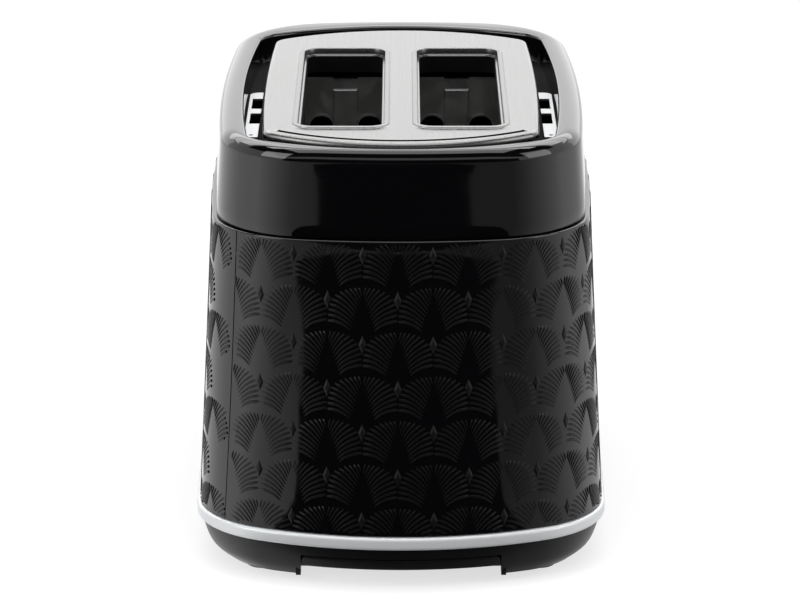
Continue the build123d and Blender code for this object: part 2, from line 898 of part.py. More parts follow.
# Mains inlet
def cord_gland():
    z0 = foot_h - gland_flange_h
    z1 = floor_z + gland_flange_h
    low = rod_along_z(gland_x, gland_y, z0, foot_h, gland_flange_r)
    neck = rod_along_z(gland_x, gland_y, z0, z1, gland_r)
    high = rod_along_z(gland_x, gland_y, floor_z, z1, gland_flange_r)
    return low + neck + high - rod_along_z(gland_x, gland_y, 0, z1 + over, gland_bore_r)


def terminal_block():
    half = terminal_l / 2
    body = Pos(terminal_x, terminal_y, floor_z + half) * Box(terminal_w, terminal_l, terminal_l)
    body = fillet(body.edges().filter_by(Axis.Z), terminal_round)
    for i in (-1, 0, 1):
        x = terminal_x + pole_pitch * i
        body -= rod_along_z(x, terminal_y + pole_screw_y, floor_z + half, floor_z + over + half, pole_screw_r)
        body -= rod_along_y(x, floor_z + pole_wire_z, terminal_y - over, terminal_y + over, pole_wire_r)
    return body


# The casing reaches further on the control end, so the origin is moved to the middle of the whole
photo_reach = low_half_l + ring_proud
control_reach = max(dial_y() + dial_d, lever_knob_y() + lever_knob_d)
body_y = (photo_reach - control_reach) / 2


def save(name, shape):
    export_step(Pos(0, body_y, 0) * shape, f"parts/{name}.step")


save("upper_cover", upper_cover())
save("body_sleeve", body_sleeve())
save("trim_ring", trim_ring())
save("base", base())
save("feet", feet())
save("slot_plate", slot_plate())
save("vent_strip_left", vent_strip(-1))
save("vent_strip_right", vent_strip(1))
save("crumb_tray", crumb_tray())
save("tray_front", tray_front())
save("rear_bulkhead", rear_bulkhead())
save("front_bulkhead", front_bulkhead())
save("heat_shield_left", heat_shield(-1))
save("heat_shield_right", heat_shield(1))
save("heater_card_left", heater_card(-card_x))
save("heater_card_centre", heater_card(0))
save("heater_card_right", heater_card(card_x))
save("heater_ribbon_left", ribbon_on(-card_x, 1))
save("heater_ribbons_centre", ribbon_on(0, -1) + ribbon_on(0, 1))
save("heater_ribbon_right", ribbon_on(card_x, -1))
save("bread_guide_left_inner", bread_guide(guide_places(-1)[0]))
save("bread_guide_left_outer", bread_guide(guide_places(-1)[1]))
save("bread_guide_right_inner", bread_guide(guide_places(1)[0]))
save("bread_guide_right_outer", bread_guide(guide_places(1)[1]))
save("bread_rack_left", bread_rack(-1))
save("bread_rack_right", bread_rack(1))
save("carriage_bracket", carriage_bracket())
save("carriage_sliders", carriage_sliders())
save("armature_plate", armature_plate())
save("latch_magnet", latch_magnet())
save("guide_rods", guide_rods())
save("rod_bracket", rod_bracket())
save("return_spring", return_spring())
save("control_panel", control_panel())
save("control_board", control_board())
save("board_screws", board_screws())
save("browning_control", browning_control())
save("tact_switches", tact_switches())
save("browning_knob", browning_knob())
save("knob_shaft", knob_shaft())
for button_name, button_z in zip(button_names, button_zs):
    save(f"button_{button_name}", button(button_z))
save("lever_knob", lever_knob())
save("cord_gland", cord_gland())
save("terminal_block", terminal_block())
save("chassis_screws", chassis_screws())
print("body moved along Y by", round(body_y, 3), "and the controls reach", round(control_reach, 3))
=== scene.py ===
import bpy
import bmesh
import json
from math import atan2, cos, hypot, pi, radians, sin, sqrt
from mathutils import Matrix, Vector
from mathutils.geometry import tessellate_polygon


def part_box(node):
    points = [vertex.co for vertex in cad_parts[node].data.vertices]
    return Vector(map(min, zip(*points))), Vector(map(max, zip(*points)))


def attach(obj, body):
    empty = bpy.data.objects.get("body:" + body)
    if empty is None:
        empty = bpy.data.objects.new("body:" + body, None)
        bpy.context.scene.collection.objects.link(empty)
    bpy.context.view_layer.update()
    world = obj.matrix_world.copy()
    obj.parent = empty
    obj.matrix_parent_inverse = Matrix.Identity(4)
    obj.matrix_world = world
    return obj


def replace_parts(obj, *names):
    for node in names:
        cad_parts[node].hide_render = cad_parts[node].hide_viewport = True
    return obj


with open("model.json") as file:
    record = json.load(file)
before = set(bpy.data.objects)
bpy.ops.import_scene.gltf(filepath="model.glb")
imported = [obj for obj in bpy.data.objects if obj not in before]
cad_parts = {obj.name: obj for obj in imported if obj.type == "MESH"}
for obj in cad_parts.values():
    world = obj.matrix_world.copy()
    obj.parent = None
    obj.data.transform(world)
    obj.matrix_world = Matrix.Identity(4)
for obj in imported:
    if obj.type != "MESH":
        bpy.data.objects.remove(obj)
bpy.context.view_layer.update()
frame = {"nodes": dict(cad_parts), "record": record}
scene = bpy.context.scene
scene.view_settings.view_transform = "Standard"

mm = 0.001
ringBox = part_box("trim_ring")
midY = (ringBox[0].y + ringBox[1].y) / 2 / mm  # the casing's own middle, in mm
eased = 0.3  # where a small rounded edge has its middle point, as a share of its size


# Helpers
def hexColour(code):
    parts = [int(code[i:i + 2], 16) / 255 for i in (1, 3, 5)]
    linear = [c / 12.92 if c <= 0.04045 else ((c + 0.055) / 1.055) ** 2.4 for c in parts]
    return (*linear, 1.0)


def addNode(tree, kind, inputs=None, **settings):
    # inputs are constants or sockets to link, settings are the node's own
    node = tree.nodes.new(kind)
    for name, value in settings.items():
        setattr(node, name, value)
    for key, value in (inputs or {}).items():
        if isinstance(value, bpy.types.NodeSocket):
            tree.links.new(value, node.inputs[key])
        else:
            node.inputs[key].default_value = value
    return node


def workOut(tree, values, steps):
    # a list of sums: each names its result, what is done, and the named values or numbers it is done to
    for result, operation, *terms in steps:
        inputs = {i: values[term] if isinstance(term, str) else term for i, term in enumerate(terms)}
        values[result] = addNode(tree, "ShaderNodeMath", inputs, operation=operation).outputs[0]
    return values[result]


def arcTurns(steps, start=0.0, sweep=90.0):
    # even turns along an arc, in radians
    return [radians(start + sweep * i / steps) for i in range(steps + 1)]


def objectOf(name, data):
    thing = bpy.data.objects.new(name, data)
    scene.collection.objects.link(thing)
    return thing


def meshPiece(name, points, faces, finish, smooth=35.0):
    # points are in mm from the middle of the casing, and become metres in the frame
    mesh = bpy.data.meshes.new(name)
    mesh.from_pydata([(x * mm, (y + midY) * mm, z * mm) for x, y, z in points], [], faces)
    mesh.materials.append(finish)
    work = bmesh.new()
    work.from_mesh(mesh)
    bmesh.ops.remove_doubles(work, verts=work.verts, dist=1e-6)
    bmesh.ops.recalc_face_normals(work, faces=work.faces)
    work.to_mesh(mesh)
    work.free()
    mesh.shade_smooth()
    mesh.set_sharp_from_angle(angle=radians(smooth))
    return objectOf(name, mesh)


def bandsBetween(rings, closed=True):
    # quads between rings that all have the same number of points
    count = len(rings[0])
    points = [p for ring in rings for p in ring]
    faces = []
    last = len(rings) if closed else len(rings) - 1
    for r in range(last):
        low, high = r * count, ((r + 1) % len(rings)) * count
        for i in range(count):
            j = (i + 1) % count
            faces.append((low + i, low + j, high + j, high + i))
    return points, faces


def barAlongY(outline, y0, y1):
    # a bar between two places along Y, with an outline of places across and up
    count = len(outline)
    points = [(x, y, z) for y in (y0, y1) for x, z in outline]
    faces = [tuple(range(count)), tuple(range(2 * count - 1, count - 1, -1))]
    faces += [(i, i + count, (i + 1) % count + count, (i + 1) % count) for i in range(count)]
    return points, faces


def addTo(points, faces, more, moreFaces):
    # puts a second list of points and faces behind the first
    base = len(points)
    points += more
    faces += [tuple(base + i for i in face) for face in moreFaces]


def bakeModifiers(piece):
    # the result of the piece's modifiers becomes its plain mesh
    graph = bpy.context.evaluated_depsgraph_get()
    graph.update()
    baked = bpy.data.meshes.new_from_object(piece.evaluated_get(graph))
    piece.modifiers.clear()
    piece.data = baked
    return piece


def cutAway(piece, cutter, smooth=35.0):
    cut = piece.modifiers.new("cut", "BOOLEAN")
    cut.operation, cut.solver, cut.object = "DIFFERENCE", "EXACT", cutter
    bakeModifiers(piece)
    bpy.data.objects.remove(cutter)
    piece.data.set_sharp_from_angle(angle=radians(smooth))
    return piece


def seat(piece, body):
    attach(piece, body)
    return piece


# Finishes, one for each material slot and a few for what the photo shows on top of them
finishes = {}


def newFinish(slotName, colour="#808080", metallic=0.0, rough=0.4, specular=0.5):
    # a principled shader to build on; numbers that are the same all over go straight on its sockets
    material = bpy.data.materials.new(slotName)
    material.use_nodes = True
    tree = material.node_tree
    shader = tree.nodes["Principled BSDF"]
    for name, value in (("Base Color", hexColour(colour)), ("Metallic", metallic), ("Roughness", rough),
                        ("Specular IOR Level", specular)):
        shader.inputs[name].default_value = value
    finishes[slotName] = material
    return tree, shader, addNode(tree, "ShaderNodeTexCoord").outputs["Object"]


def perMetre(*sizes):
    # how many marks of these real sizes, in mm, lie in a metre
    counts = [1 / (size * mm) for size in sizes]
    return counts if len(counts) > 1 else counts[0]


def softMarks(tree, place, *sizes, detail=2.0, rough=0.5):
    # soft random marks, of one size in mm or of three along X, Y and Z
    if len(sizes) == 3:
        place = addNode(tree, "ShaderNodeMapping", {"Vector": place, "Scale": perMetre(*sizes)}).outputs[0]
        sizes = [1 / mm]
    values = {"Vector": place, "Scale": perMetre(*sizes), "Detail": detail, "Roughness": rough}
    return addNode(tree, "ShaderNodeTexNoise", values).outputs["Fac"]


def flakeTones(tree, place, *sizes):
    # flakes or crystals of these sizes in mm along X, Y and Z, each of one tone
    place = addNode(tree, "ShaderNodeMapping", {"Vector": place, "Scale": perMetre(*sizes)}).outputs[0]
    flake = addNode(tree, "ShaderNodeTexVoronoi", {"Vector": place, "Scale": 1.0})
    return addNode(tree, "ShaderNodeSeparateColor", {0: flake.outputs["Color"]}).outputs[0]


def dressed(tree, shader, tone, colours, gloss, roughs, height, bump, ends=(0.3, 0.7)):
    # tone blends two colours, gloss runs between two roughnesses, height raises the surface by bump
    first, second = (hexColour(code) for code in colours)
    blend = addNode(tree, "ShaderNodeMix", {0: tone, 6: first, 7: second}, data_type="RGBA")
    spread = addNode(tree, "ShaderNodeMapRange", dict(enumerate((gloss, *ends, *roughs))))
    rise = addNode(tree, "ShaderNodeBump", {"Strength": bump[0], "Distance": bump[1] * mm, "Height": height})
    for name, value in (("Base Color", blend.outputs[2]), ("Roughness", spread.outputs[0]),
                        ("Normal", rise.outputs[0])):
        tree.links.new(value, shader.inputs[name])


def glossPlastic(slotName, colours, roughs, ripple):
    # ABS from a polished mould: clear gloss with a faint flow ripple and fine wipe marks
    tree, shader, place = newFinish(slotName)
    cloud = softMarks(tree, place, 111, detail=3.0)
    wipe = softMarks(tree, place, 16.7, 16.7, 1.11)
    flow = softMarks(tree, place, 29.4, detail=1.0)
    dressed(tree, shader, cloud, colours, wipe, roughs, flow, (ripple, 0.4))


def satinPlastic(slotName, colours, roughs, grain, specular=0.5):
    # plastic or rubber from a spark-eroded mould: even fine grain, which is drawn coarser than it is to show
    tree, shader, place = newFinish(slotName, specular=specular)
    cloud = softMarks(tree, place, 71.4, detail=4.0)
    fine = softMarks(tree, place, 0.526)
    dressed(tree, shader, cloud, colours, cloud, roughs, fine, (grain, 0.1))
    return finishes[slotName]


def grainedMetal(slotName, colours, roughs, hairSizes, grain, metallic=1.0):
    # drawn or polished metal: hairlines that run along one direction, with soft cloudy tone
    tree, shader, place = newFinish(slotName, metallic=metallic)
    hair = softMarks(tree, place, *hairSizes, detail=4.0, rough=0.6)
    cloud = softMarks(tree, place, 45.5, detail=3.0)
    dressed(tree, shader, cloud, colours, hair, roughs, hair, (grain, 0.08))
    return finishes[slotName]


def spangledSheet(slotName, colours, roughs, grain):
    # zinc coated steel: crystals of slightly different tone, and a fine grain on top
    tree, shader, place = newFinish(slotName, metallic=1.0)
    tone = flakeTones(tree, place, 3.85, 3.85, 3.85)
    fine = softMarks(tree, place, 2.0)
    dressed(tree, shader, tone, colours, tone, roughs, fine, (grain, 0.1), (0.0, 1.0))


def micaCard(slotName, colours, roughs, grain):
    # pressed mica: pearly flakes in a pale brown sheet
    tree, shader, place = newFinish(slotName)
    tone = flakeTones(tree, place, 11.1, 2.38, 2.38)
    dressed(tree, shader, tone, colours, tone, roughs, tone, (grain, 0.2), (0.0, 1.0))


def boardLaminate(slotName, mask, tracks, rough, grain):
    # green solder mask over the tracks of a circuit board
    tree, shader, place = newFinish(slotName, mask, rough=rough)
    flat = addNode(tree, "ShaderNodeMapping", {"Vector": place, "Scale": (1, 0, 1)}).outputs[0]
    wires = addNode(tree, "ShaderNodeTexBrick", {
        "Vector": flat, "Color1": hexColour(tracks[0]), "Color2": hexColour(tracks[1]),
        "Mortar": hexColour(tracks[2]), "Scale": perMetre(11.1), "Mortar Size": 0.06, "Brick Width": 0.9,
        "Row Height": 0.22}).outputs
    rise = addNode(tree, "ShaderNodeBump", {"Strength": grain, "Distance": 0.1 * mm, "Height": wires["Fac"]})
    tree.links.new(wires["Color"], shader.inputs["Base Color"])
    tree.links.new(rise.outputs[0], shader.inputs["Normal"])


glossPlastic("gloss_black", ("#050506", "#08080A"), (0.035, 0.07), 0.02)
glossPlastic("embossed_black", ("#050506", "#08080A"), (0.04, 0.08), 0.03)
satinPlastic("base_black", ("#0D0D0E", "#111112"), (0.36, 0.46), 0.05, 0.3)
grainedMetal("polished_steel", ("#767676", "#717170"), (0.14, 0.26), (2.0, 71.4, 2.0), 0.06)
rolledSteel = grainedMetal("rolled_edge", ("#6E6E6E", "#686867"), (0.26, 0.32), (2.0, 71.4, 2.0), 0.02)
grainedMetal("chrome_trim", ("#D2D4D6", "#CACCCE"), (0.2, 0.26), (25, 25, 1.43), 0.01)
silverLacquer = grainedMetal("silver_lacquer", ("#CDCFD1", "#C6C8CA"), (0.32, 0.38), (25, 25, 1.43), 0.01,
                             metallic=0.25)
# a near-black matte finish that paints shade: on the well's floor, in the plate's pressed line and low inside
# the slot lips
paintedShadeBlack = satinPlastic("painted_shade_black", ("#060606", "#080808"), (0.8, 0.9), 0.05, 0.08)
spangledSheet("galvanised_sheet", ("#9C9D9E", "#A5A6A7"), (0.3, 0.46), 0.1)
grainedMetal("steel_wire", ("#B9B9B8", "#A4A4A3"), (0.18, 0.32), (1.11, 16.7, 16.7), 0.1)
micaCard("mica", ("#8A8378", "#ADA699"), (0.3, 0.62), 0.25)
grainedMetal("heater_alloy", ("#5E5650", "#7A6E62"), (0.38, 0.55), (3.33, 16.7, 3.33), 0.15)
satinPlastic("foot_rubber", ("#101010", "#1A1A1A"), (0.7, 0.9), 0.3)
boardLaminate("circuit_board", "#1C5A33", ("#1B5630", "#23683B", "#2F7A48"), 0.32, 0.3)
satinPlastic("white_nylon", ("#D8D5CB", "#CBC7BB"), (0.35, 0.5), 0.05)
grainedMetal("copper_coil", ("#A4572E", "#8A4524"), (0.2, 0.34), (20, 20, 0.385), 0.5)
grainedMetal("zinc_screw", ("#B4B5B3", "#A2A39F"), (0.22, 0.36), (3.33, 3.33, 3.33), 0.1)
ribSatin = satinPlastic("embossed_satin", ("#09090A", "#0C0C0D"), (0.36, 0.42), 0.02, 0.3)
diamondSatin = satinPlastic("embossed_facet", ("#09090A", "#0C0C0D"), (0.42, 0.5), 0.02, 0.2)
printedWhite = satinPlastic("white_print", ("#D6D6D4", "#CDCDCB"), (0.4, 0.5), 0.02)
print("finishes made:", len(finishes))

for part in frame["record"]["subparts"]:
    node = frame["nodes"][part["node"]]
    node.data.materials.clear()
    node.data.materials.append(finishes[part["material_slot"]])
print("finishes put on", len(frame["nodes"]), "nodes")


# The casing: every height has a plan of two long sides, two bowed ends and round corners
casing = {
    "ringTop": 26.0, "seam": 157.0, "shoulder": 189.5, "rim": 196.0,
    "lowHalfW": 90.9, "lowHalfL": 143.0, "lowSideR": 3000.0, "lowEndR": 150.0,
    "topHalfW": 81.6, "topHalfL": 132.2, "topSideR": 1300.0, "topEndR": 300.0,
    "cornerR": 46.0, "shoulderSide": 8.0, "sleeveProud": 1.6,
    "endSteps": 16, "cornerSteps": 20, "sideSteps": 14, "quarter": 50,
}


def circlesMeet(halfW, halfL, sideR, endR, shrink):
    # where circles round the side's and the end's centres meet, both made smaller by shrink
    cx, cy = halfW - sideR, halfL - endR
    gap = hypot(cx, cy)
    along = ((sideR - shrink) ** 2 - (endR - shrink) ** 2 + gap ** 2) / (2 * gap)
    off = sqrt((sideR - shrink) ** 2 - along ** 2)
    ux, uy = -cx / gap, cy / gap
    return cx + along * ux - off * uy, along * uy + off * ux


def planShape(halfW, halfL, sideR, endR, roundR, middle=0.0):
    # a closed plan: its sizes, the centre of its corner and where the corner's arc begins and ends
    kx, ky = circlesMeet(halfW, halfL, sideR, endR, roundR)
    endTurn = atan2(ky - (halfL - endR), kx)
    sideTurn = atan2(ky, kx - (halfW - sideR))
    return halfW, halfL, sideR, endR, roundR, middle, kx, ky, endTurn, sideTurn


def planPoint(shape, place):
    # place counts steps round the plan, from the middle of the -Y end by way of the +X side
    halfW, halfL, sideR, endR, roundR, middle, kx, ky, endTurn, sideTurn = shape
    ends, corners, whole = casing["endSteps"], casing["cornerSteps"], casing["quarter"]
    quarter, f = divmod(place, whole)
    if quarter in (1, 3):
        f = whole - f
    if f <= ends:
        a = pi / 2 + (endTurn - pi / 2) * f / ends
        x, y = endR * cos(a), halfL - endR + endR * sin(a)
    elif f <= ends + corners:
        a = endTurn + (sideTurn - endTurn) * (f - ends) / corners
        x, y = kx + roundR * cos(a), ky + roundR * sin(a)
    else:
        a = sideTurn * (whole - f) / casing["sideSteps"]
        x, y = halfW - sideR + sideR * cos(a), sideR * sin(a)
    return (x if quarter < 2 else -x), (-y if quarter in (0, 3) else y) + middle


def planLoop(shape, places=None):
    return [planPoint(shape, k) for k in (places or range(4 * casing["quarter"]))]


def endPlan(z):
    # half the length of the casing and the radius of its ends, at a height
    c = casing
    t = (z - c["ringTop"]) / (c["rim"] - c["ringTop"])
    halfL = c["lowHalfL"] + (c["topHalfL"] - c["lowHalfL"]) * t
    return t, halfL, 1 / (1 / c["lowEndR"] + (1 / c["topEndR"] - 1 / c["lowEndR"]) * t)


def casingLoop(z, inset=0.0, inW=0.0, inL=0.0, places=None):
    c = casing
    t, halfL, endR = endPlan(z)
    halfW = c["lowHalfW"] + (c["topHalfW"] - c["lowHalfW"]) * t
    sideR = 1 / (1 / c["lowSideR"] + (1 / c["topSideR"] - 1 / c["lowSideR"]) * t)
    shape = planShape(halfW - inset - inW, halfL - inset - inL, sideR - inset, endR - inset,
                      c["cornerR"] - inset - (inW + inL) / 2)
    return planLoop(shape, places)


def ringAt(loop, z):
    return [(x, y, z) for x, y in loop]


def ruled(z, z0, z1, inset=0.0, places=None, proud=0.0):
    # a ring on the straight-drawn wall between two heights, which may stand proud at the upper one
    t = (z - z0) / (z1 - z0)
    low, high = casingLoop(z0, inset, places=places), casingLoop(z1, inset - proud, places=places)
    return [(a[0] + (b[0] - a[0]) * t, a[1] + (b[1] - a[1]) * t, z) for a, b in zip(low, high)]


def skinRing(z, inset=0.0, places=None):
    # a ring on the sleeve's outside, which stands proud of the casing most at the seam
    return ruled(z, casing["ringTop"], casing["seam"], inset, places, casing["sleeveProud"])


def roundedPrism(name, halfW, z0, z1, cornerR, y0, y1, steps=8):
    # a bar along Y with a rounded rectangle for its section
    outline = []
    for sx, sz, start in ((1, 1, 0), (-1, 1, 90), (-1, -1, 180), (1, -1, 270)):
        cx, cz = sx * (halfW - cornerR), (z1 if sz > 0 else z0) - sz * cornerR
        outline += [(cx + cornerR * cos(a), cz + cornerR * sin(a)) for a in arcTurns(steps, start)]
    return meshPiece(name, *barAlongY(outline, y0, y1), finishes["gloss_black"])


# Lower sleeve, standing a little further out than the cover above it
sleeve = {"wall": 2.2, "rows": 14, "edge": 0.6, "edgeSteps": 4, "edgeGroove": 0.6,
          "seamHigh": 173.9, "seamLow": 176.75, "seamWide": 0.1, "seamLine": 0.6, "seamDeep": 0.45,
          "seamFrom": 168, "seamTo": 182, "seamSteps": 7,
          "panelHalfW": 34.0, "panelLow": 34.0, "panelHigh": 147.0, "panelRound": 8.0,
          "panelY": (100.0, 190.0)}


def seamPlaces(z):
    # the loop's places, drawn together beside the upright seam, which leans a little on its way down
    s = sleeve
    t = (casing["seam"] - z) / (casing["seam"] - casing["ringTop"])
    middle = s["seamHigh"] + (s["seamLow"] - s["seamHigh"]) * t
    first, last, wide, steps = s["seamFrom"], s["seamTo"], s["seamWide"], s["seamSteps"]
    before = [first + (middle - wide - first) * i / steps for i in range(steps + 1)]
    after = [last - (last - middle - wide) * i / steps for i in range(steps, -1, -1)]
    groove = [middle - s["seamLine"] * wide, middle + s["seamLine"] * wide]
    return list(range(first)) + before + groove + after + list(range(last + 1, 4 * casing["quarter"]))


def withGroove(ring, deep):
    # pushes in the two points between the seam's edges
    ring = list(ring)
    first = sleeve["seamFrom"] + sleeve["seamSteps"] + 1
    for k in (first, first + 1):
        (ax, ay, z), (bx, by, _) = ring[k - 2], ring[k + 2]
        length = hypot(bx - ax, by - ay)
        x, y, _ = ring[k]
        ring[k] = (x - (by - ay) / length * deep, y + (bx - ax) / length * deep, z)
    return ring


def makeSleeve():
    s = sleeve
    z0, z1 = casing["ringTop"], casing["seam"]
    edge, deep = s["edge"], s["seamDeep"]
    rings = []
    for i in range(s["rows"] + 1):
        z = z0 + (z1 - edge - z0) * i / s["rows"]
        rings.append(withGroove(skinRing(z, 0.0, seamPlaces(z)), deep))
    for a in arcTurns(s["edgeSteps"])[1:]:
        z = z1 - edge + edge * sin(a)
        inset = edge * (1 - cos(a))
        rings.append(withGroove(skinRing(z, inset, seamPlaces(z)), deep * s["edgeGroove"]))
    inner = [ruled(z, z0, z1, s["wall"], seamPlaces(z)) for z in (z1, z0)]
    piece = meshPiece("sleeveShell", *bandsBetween(rings + inner), finishes["embossed_black"])
    cutAway(piece, roundedPrism("panelHole", s["panelHalfW"], s["panelLow"], s["panelHigh"], s["panelRound"],
                                *s["panelY"]))
    return seat(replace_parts(piece, "body_sleeve"), "housing")


makeSleeve()
print("sleeve made")

# Upper cover with its rounded shoulder, the well for the slot plate and four openings in the well's floor
cover = {"gap": 0.35, "edge": 0.5, "wall": 2.5, "wallRows": 6, "shoulderSteps": 14, "shoulderEnd": 3.8,
         "rimRound": 1.6, "rimSteps": 4,
         "wellY": -4.0, "wellHalfW": 71.0, "wellHalfL": 123.6, "wellSideR": 1100.0, "wellEndR": 118.0,
         "wellCornerR": 17.0, "mouthHalfW": 54.0, "mouthY": (-99.6, 64.0),
         "floorZ": 183.0, "floorWall": 1.8, "floorRound": 1.0, "ledge": 0.5, "paintedShadeWithin": 1.2,
         "spigotH": 6.0, "spigotWall": 1.6, "spigotInset": 2.5}
vents = {"edge": 69.8, "wide": 6.0, "rail": 1.4, "gapL": 20.0, "gapYs": (-22.5, 6.5), "holeZ": (175.0, 190.0)}


def wellRing(z, grow=0.0):
    c = cover
    shape = planShape(c["wellHalfW"] + grow, c["wellHalfL"] + grow, c["wellSideR"] + grow,
                      c["wellEndR"] + grow, c["wellCornerR"] + grow, c["wellY"])
    return ringAt(planLoop(shape), z)


def mouthRing(z):
    # the well's points drawn in to the four-sided mouth of the oven
    wide, (near, far) = cover["mouthHalfW"], cover["mouthY"]
    return [(max(-wide, min(wide, x)), max(near, min(far, y)), z) for x, y, _ in wellRing(z)]


def floorHoles():
    # the four openings beside the rungs of the vent combs, as one cutter
    points, faces = [], []
    low, high = vents["holeZ"]
    for side in (-1, 1):
        x0, x1 = sorted((side * (vents["edge"] - vents["wide"]), side * (vents["edge"] - vents["rail"])))
        for y in vents["gapYs"]:
            outline = ((x0, low), (x1, low), (x1, high), (x0, high))
            addTo(points, faces, *barAlongY(outline, y - vents["gapL"] / 2, y + vents["gapL"] / 2))
    return meshPiece("floorHoles", points, faces, finishes["gloss_black"])


def makeCover():
    c = cover
    seam, shoulder, rim, floor = casing["seam"], casing["shoulder"], casing["rim"], c["floorZ"]
    low, edge, rows = seam + c["gap"], c["edge"], c["wallRows"]
    rings = [ruled(low, seam, shoulder, edge), ruled(low + eased * edge, seam, shoulder, eased * edge)]
    rings += [ruled(low + edge + (shoulder - low - edge) * i / rows, seam, shoulder) for i in range(rows)]
    for a in arcTurns(c["shoulderSteps"]):
        inward = 1 - cos(a)
        loop = casingLoop(shoulder, 0.0, casing["shoulderSide"] * inward, c["shoulderEnd"] * inward)
        rings.append(ringAt(loop, shoulder + (rim - shoulder) * sin(a)))
    r = c["rimRound"]
    rings += [wellRing(rim - r * (1 - cos(a)), r * (1 - sin(a))) for a in arcTurns(c["rimSteps"])]
    r = c["floorRound"]
    rings += [wellRing(floor + r), wellRing(floor + eased * r, -eased * r), wellRing(floor, -r)]
    rings.append(mouthRing(floor))
    under, ledge = floor - c["floorWall"], shoulder - c["ledge"]
    rings += [mouthRing(under), wellRing(under, c["floorWall"]), wellRing(ledge, c["floorWall"])]
    # the inside of the wall, and the spigot that drops into the sleeve
    high, foot = seam + c["spigotH"], seam - c["spigotH"]
    near, deep = c["spigotInset"], c["spigotInset"] + c["spigotWall"]
    rings += [ruled(z, seam, shoulder, inset) for z, inset in (
        (ledge, c["wall"]), (high, c["wall"]), (high, deep), (foot, deep), (foot, near), (low, near))]
    piece = meshPiece("coverShell", *bandsBetween(rings), finishes["gloss_black"])
    cutAway(piece, floorHoles())
    piece.data.materials.append(paintedShadeBlack)
    # the flat floor of the well is painted near-black, as painted shade for the shade that falls in the well
    for face in piece.data.polygons:
        if abs(face.center.z - floor * mm) < c["paintedShadeWithin"] * mm and face.normal.z > 0.5:
            face.material_index = 1
    return seat(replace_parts(piece, "upper_cover"), "housing")


makeCover()
print("cover made")

# Bright trim ring
trim = {"low": 19.7, "high": 25.4, "proud": 1.6, "wall": 3.4, "roundR": 1.5, "steps": 7}


def makeTrim():
    r, low, high, proud = trim["roundR"], trim["low"], trim["high"], trim["proud"]
    turns = arcTurns(trim["steps"])
    profile = [(trim["wall"], low)]
    profile += [(r - proud - r * sin(a), low + r - r * cos(a)) for a in turns]
    profile += [(r - proud - r * cos(a), high - r + r * sin(a)) for a in turns]
    rings = [ringAt(casingLoop(casing["ringTop"], inset), z) for inset, z in profile + [(trim["wall"], high)]]
    piece = meshPiece("trimBand", *bandsBetween(rings), silverLacquer)
    return seat(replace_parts(piece, "trim_ring"), "housing")


makeTrim()
print("trim ring made")

# Polished slot plate: a flat sheet with a pressed line, a rolled edge and a rolled lip round each slot
plate = {"y": -10.4, "halfW": 61.8, "halfL": 114.4, "sideR": 2100.0, "endR": 92.0, "cornerR": 9.0,
         "leastR": 2.0, "top": 197.6, "edgeH": 3.2, "roundR": 2.4, "roundSteps": 8, "sheet": 1.0,
         "skirtInset": 3.0, "floor": 183.0,
         "lineInset": 4.6, "lineWide": 2.4, "lineDeep": 0.9, "lineSlope": 0.2, "lineEnd": 26, "lineFade": 8,
         "lineShows": 0.3, "flatRings": (1.2, 0.3), "flatBands": 5, "outerBands": 15,
         "slotX": 26.25, "slotY": -18.3, "slotW": 37.6, "slotL": 156.0, "slotRound": 7.0, "slotSteps": 12,
         "lipW": 2.3, "lipTop": 198.6, "lipDepth": 10.6, "lipSteps": 8, "lipFlat": 0.55, "lipFrom": 0.1,
         "lipShadeDepth": 3.4, "foot": 0.9, "footRing": 0.8, "bead": 1.1, "beadDown": 2.1}


def plateRing(z, inset=0.0):
    p = plate
    shape = planShape(p["halfW"] - inset, p["halfL"] - inset, p["sideR"] - inset, p["endR"] - inset,
                      max(p["cornerR"] - inset / 2, p["leastR"]), p["y"])
    return ringAt(planLoop(shape), z)


def pressed(place):
    # how much of the pressed line there is round the plate: all of it along the near end, none elsewhere
    whole = 4 * casing["quarter"]
    away = min(place, whole - place)
    return max(0.0, min(1.0, (plate["lineEnd"] - away) / plate["lineFade"]))


def slotRing(side, z, grow):
    # a rounded rectangle round one slot, turning the same way as the plate's outline
    p = plate
    halfW, halfL, r = p["slotW"] / 2 + grow, p["slotL"] / 2 + grow, p["slotRound"] + grow
    ring = []
    for sx, sy, start in ((1, -1, 270), (1, 1, 0), (-1, 1, 90), (-1, -1, 180)):
        cx, cy = side * p["slotX"] + sx * (halfW - r), p["slotY"] + sy * (halfL - r)
        ring += [(cx + r * cos(a), cy + r * sin(a), z) for a in arcTurns(p["slotSteps"], start)]
    return ring


def lipProfile():
    # how far out from the slot's edge and how high, from the flat sheet over the lip and down inside
    p = plate
    top, foot, half = p["top"], p["foot"], p["lipW"] / 2
    profile = [(p["lipW"] + foot + p["footRing"], top), (p["lipW"] + foot, top),
               (p["lipW"] + 0.35 * foot, top + 0.12), (p["lipW"], top + 0.4)]
    high = half * p["lipFlat"]
    profile += [(half + half * cos(a), p["lipTop"] - high + high * sin(a))
                for a in arcTurns(p["lipSteps"], 0.0, 180.0)]
    # a bead runs round inside, where the sheet steps in
    bead, beadZ, low = -p["bead"], top - p["beadDown"], top - p["lipDepth"]
    profile += [(0.0, beadZ), (0.2 * bead, beadZ - 0.25), (0.8 * bead, beadZ - 0.4), (bead, beadZ - 0.7)]
    return profile + [(bead, low), (p["sheet"], low), (p["sheet"], top - p["sheet"])]


def sheetBetween(outer, holes, upward):
    # a flat sheet filled between an outline and its holes, as triangles
    flat = [[Vector((x, y, 0)) for x, y, _ in ring] for ring in [outer] + holes]
    points = [point for ring in [outer] + holes for point in ring]
    faces = []
    for a, b, c in tessellate_polygon(flat):
        (ax, ay, _), (bx, by, _), (cx, cy, _) = points[a], points[b], points[c]
        turn = (bx - ax) * (cy - ay) - (by - ay) * (cx - ax)
        faces.append((a, b, c) if (turn > 0) == upward else (a, c, b))
    return points, faces


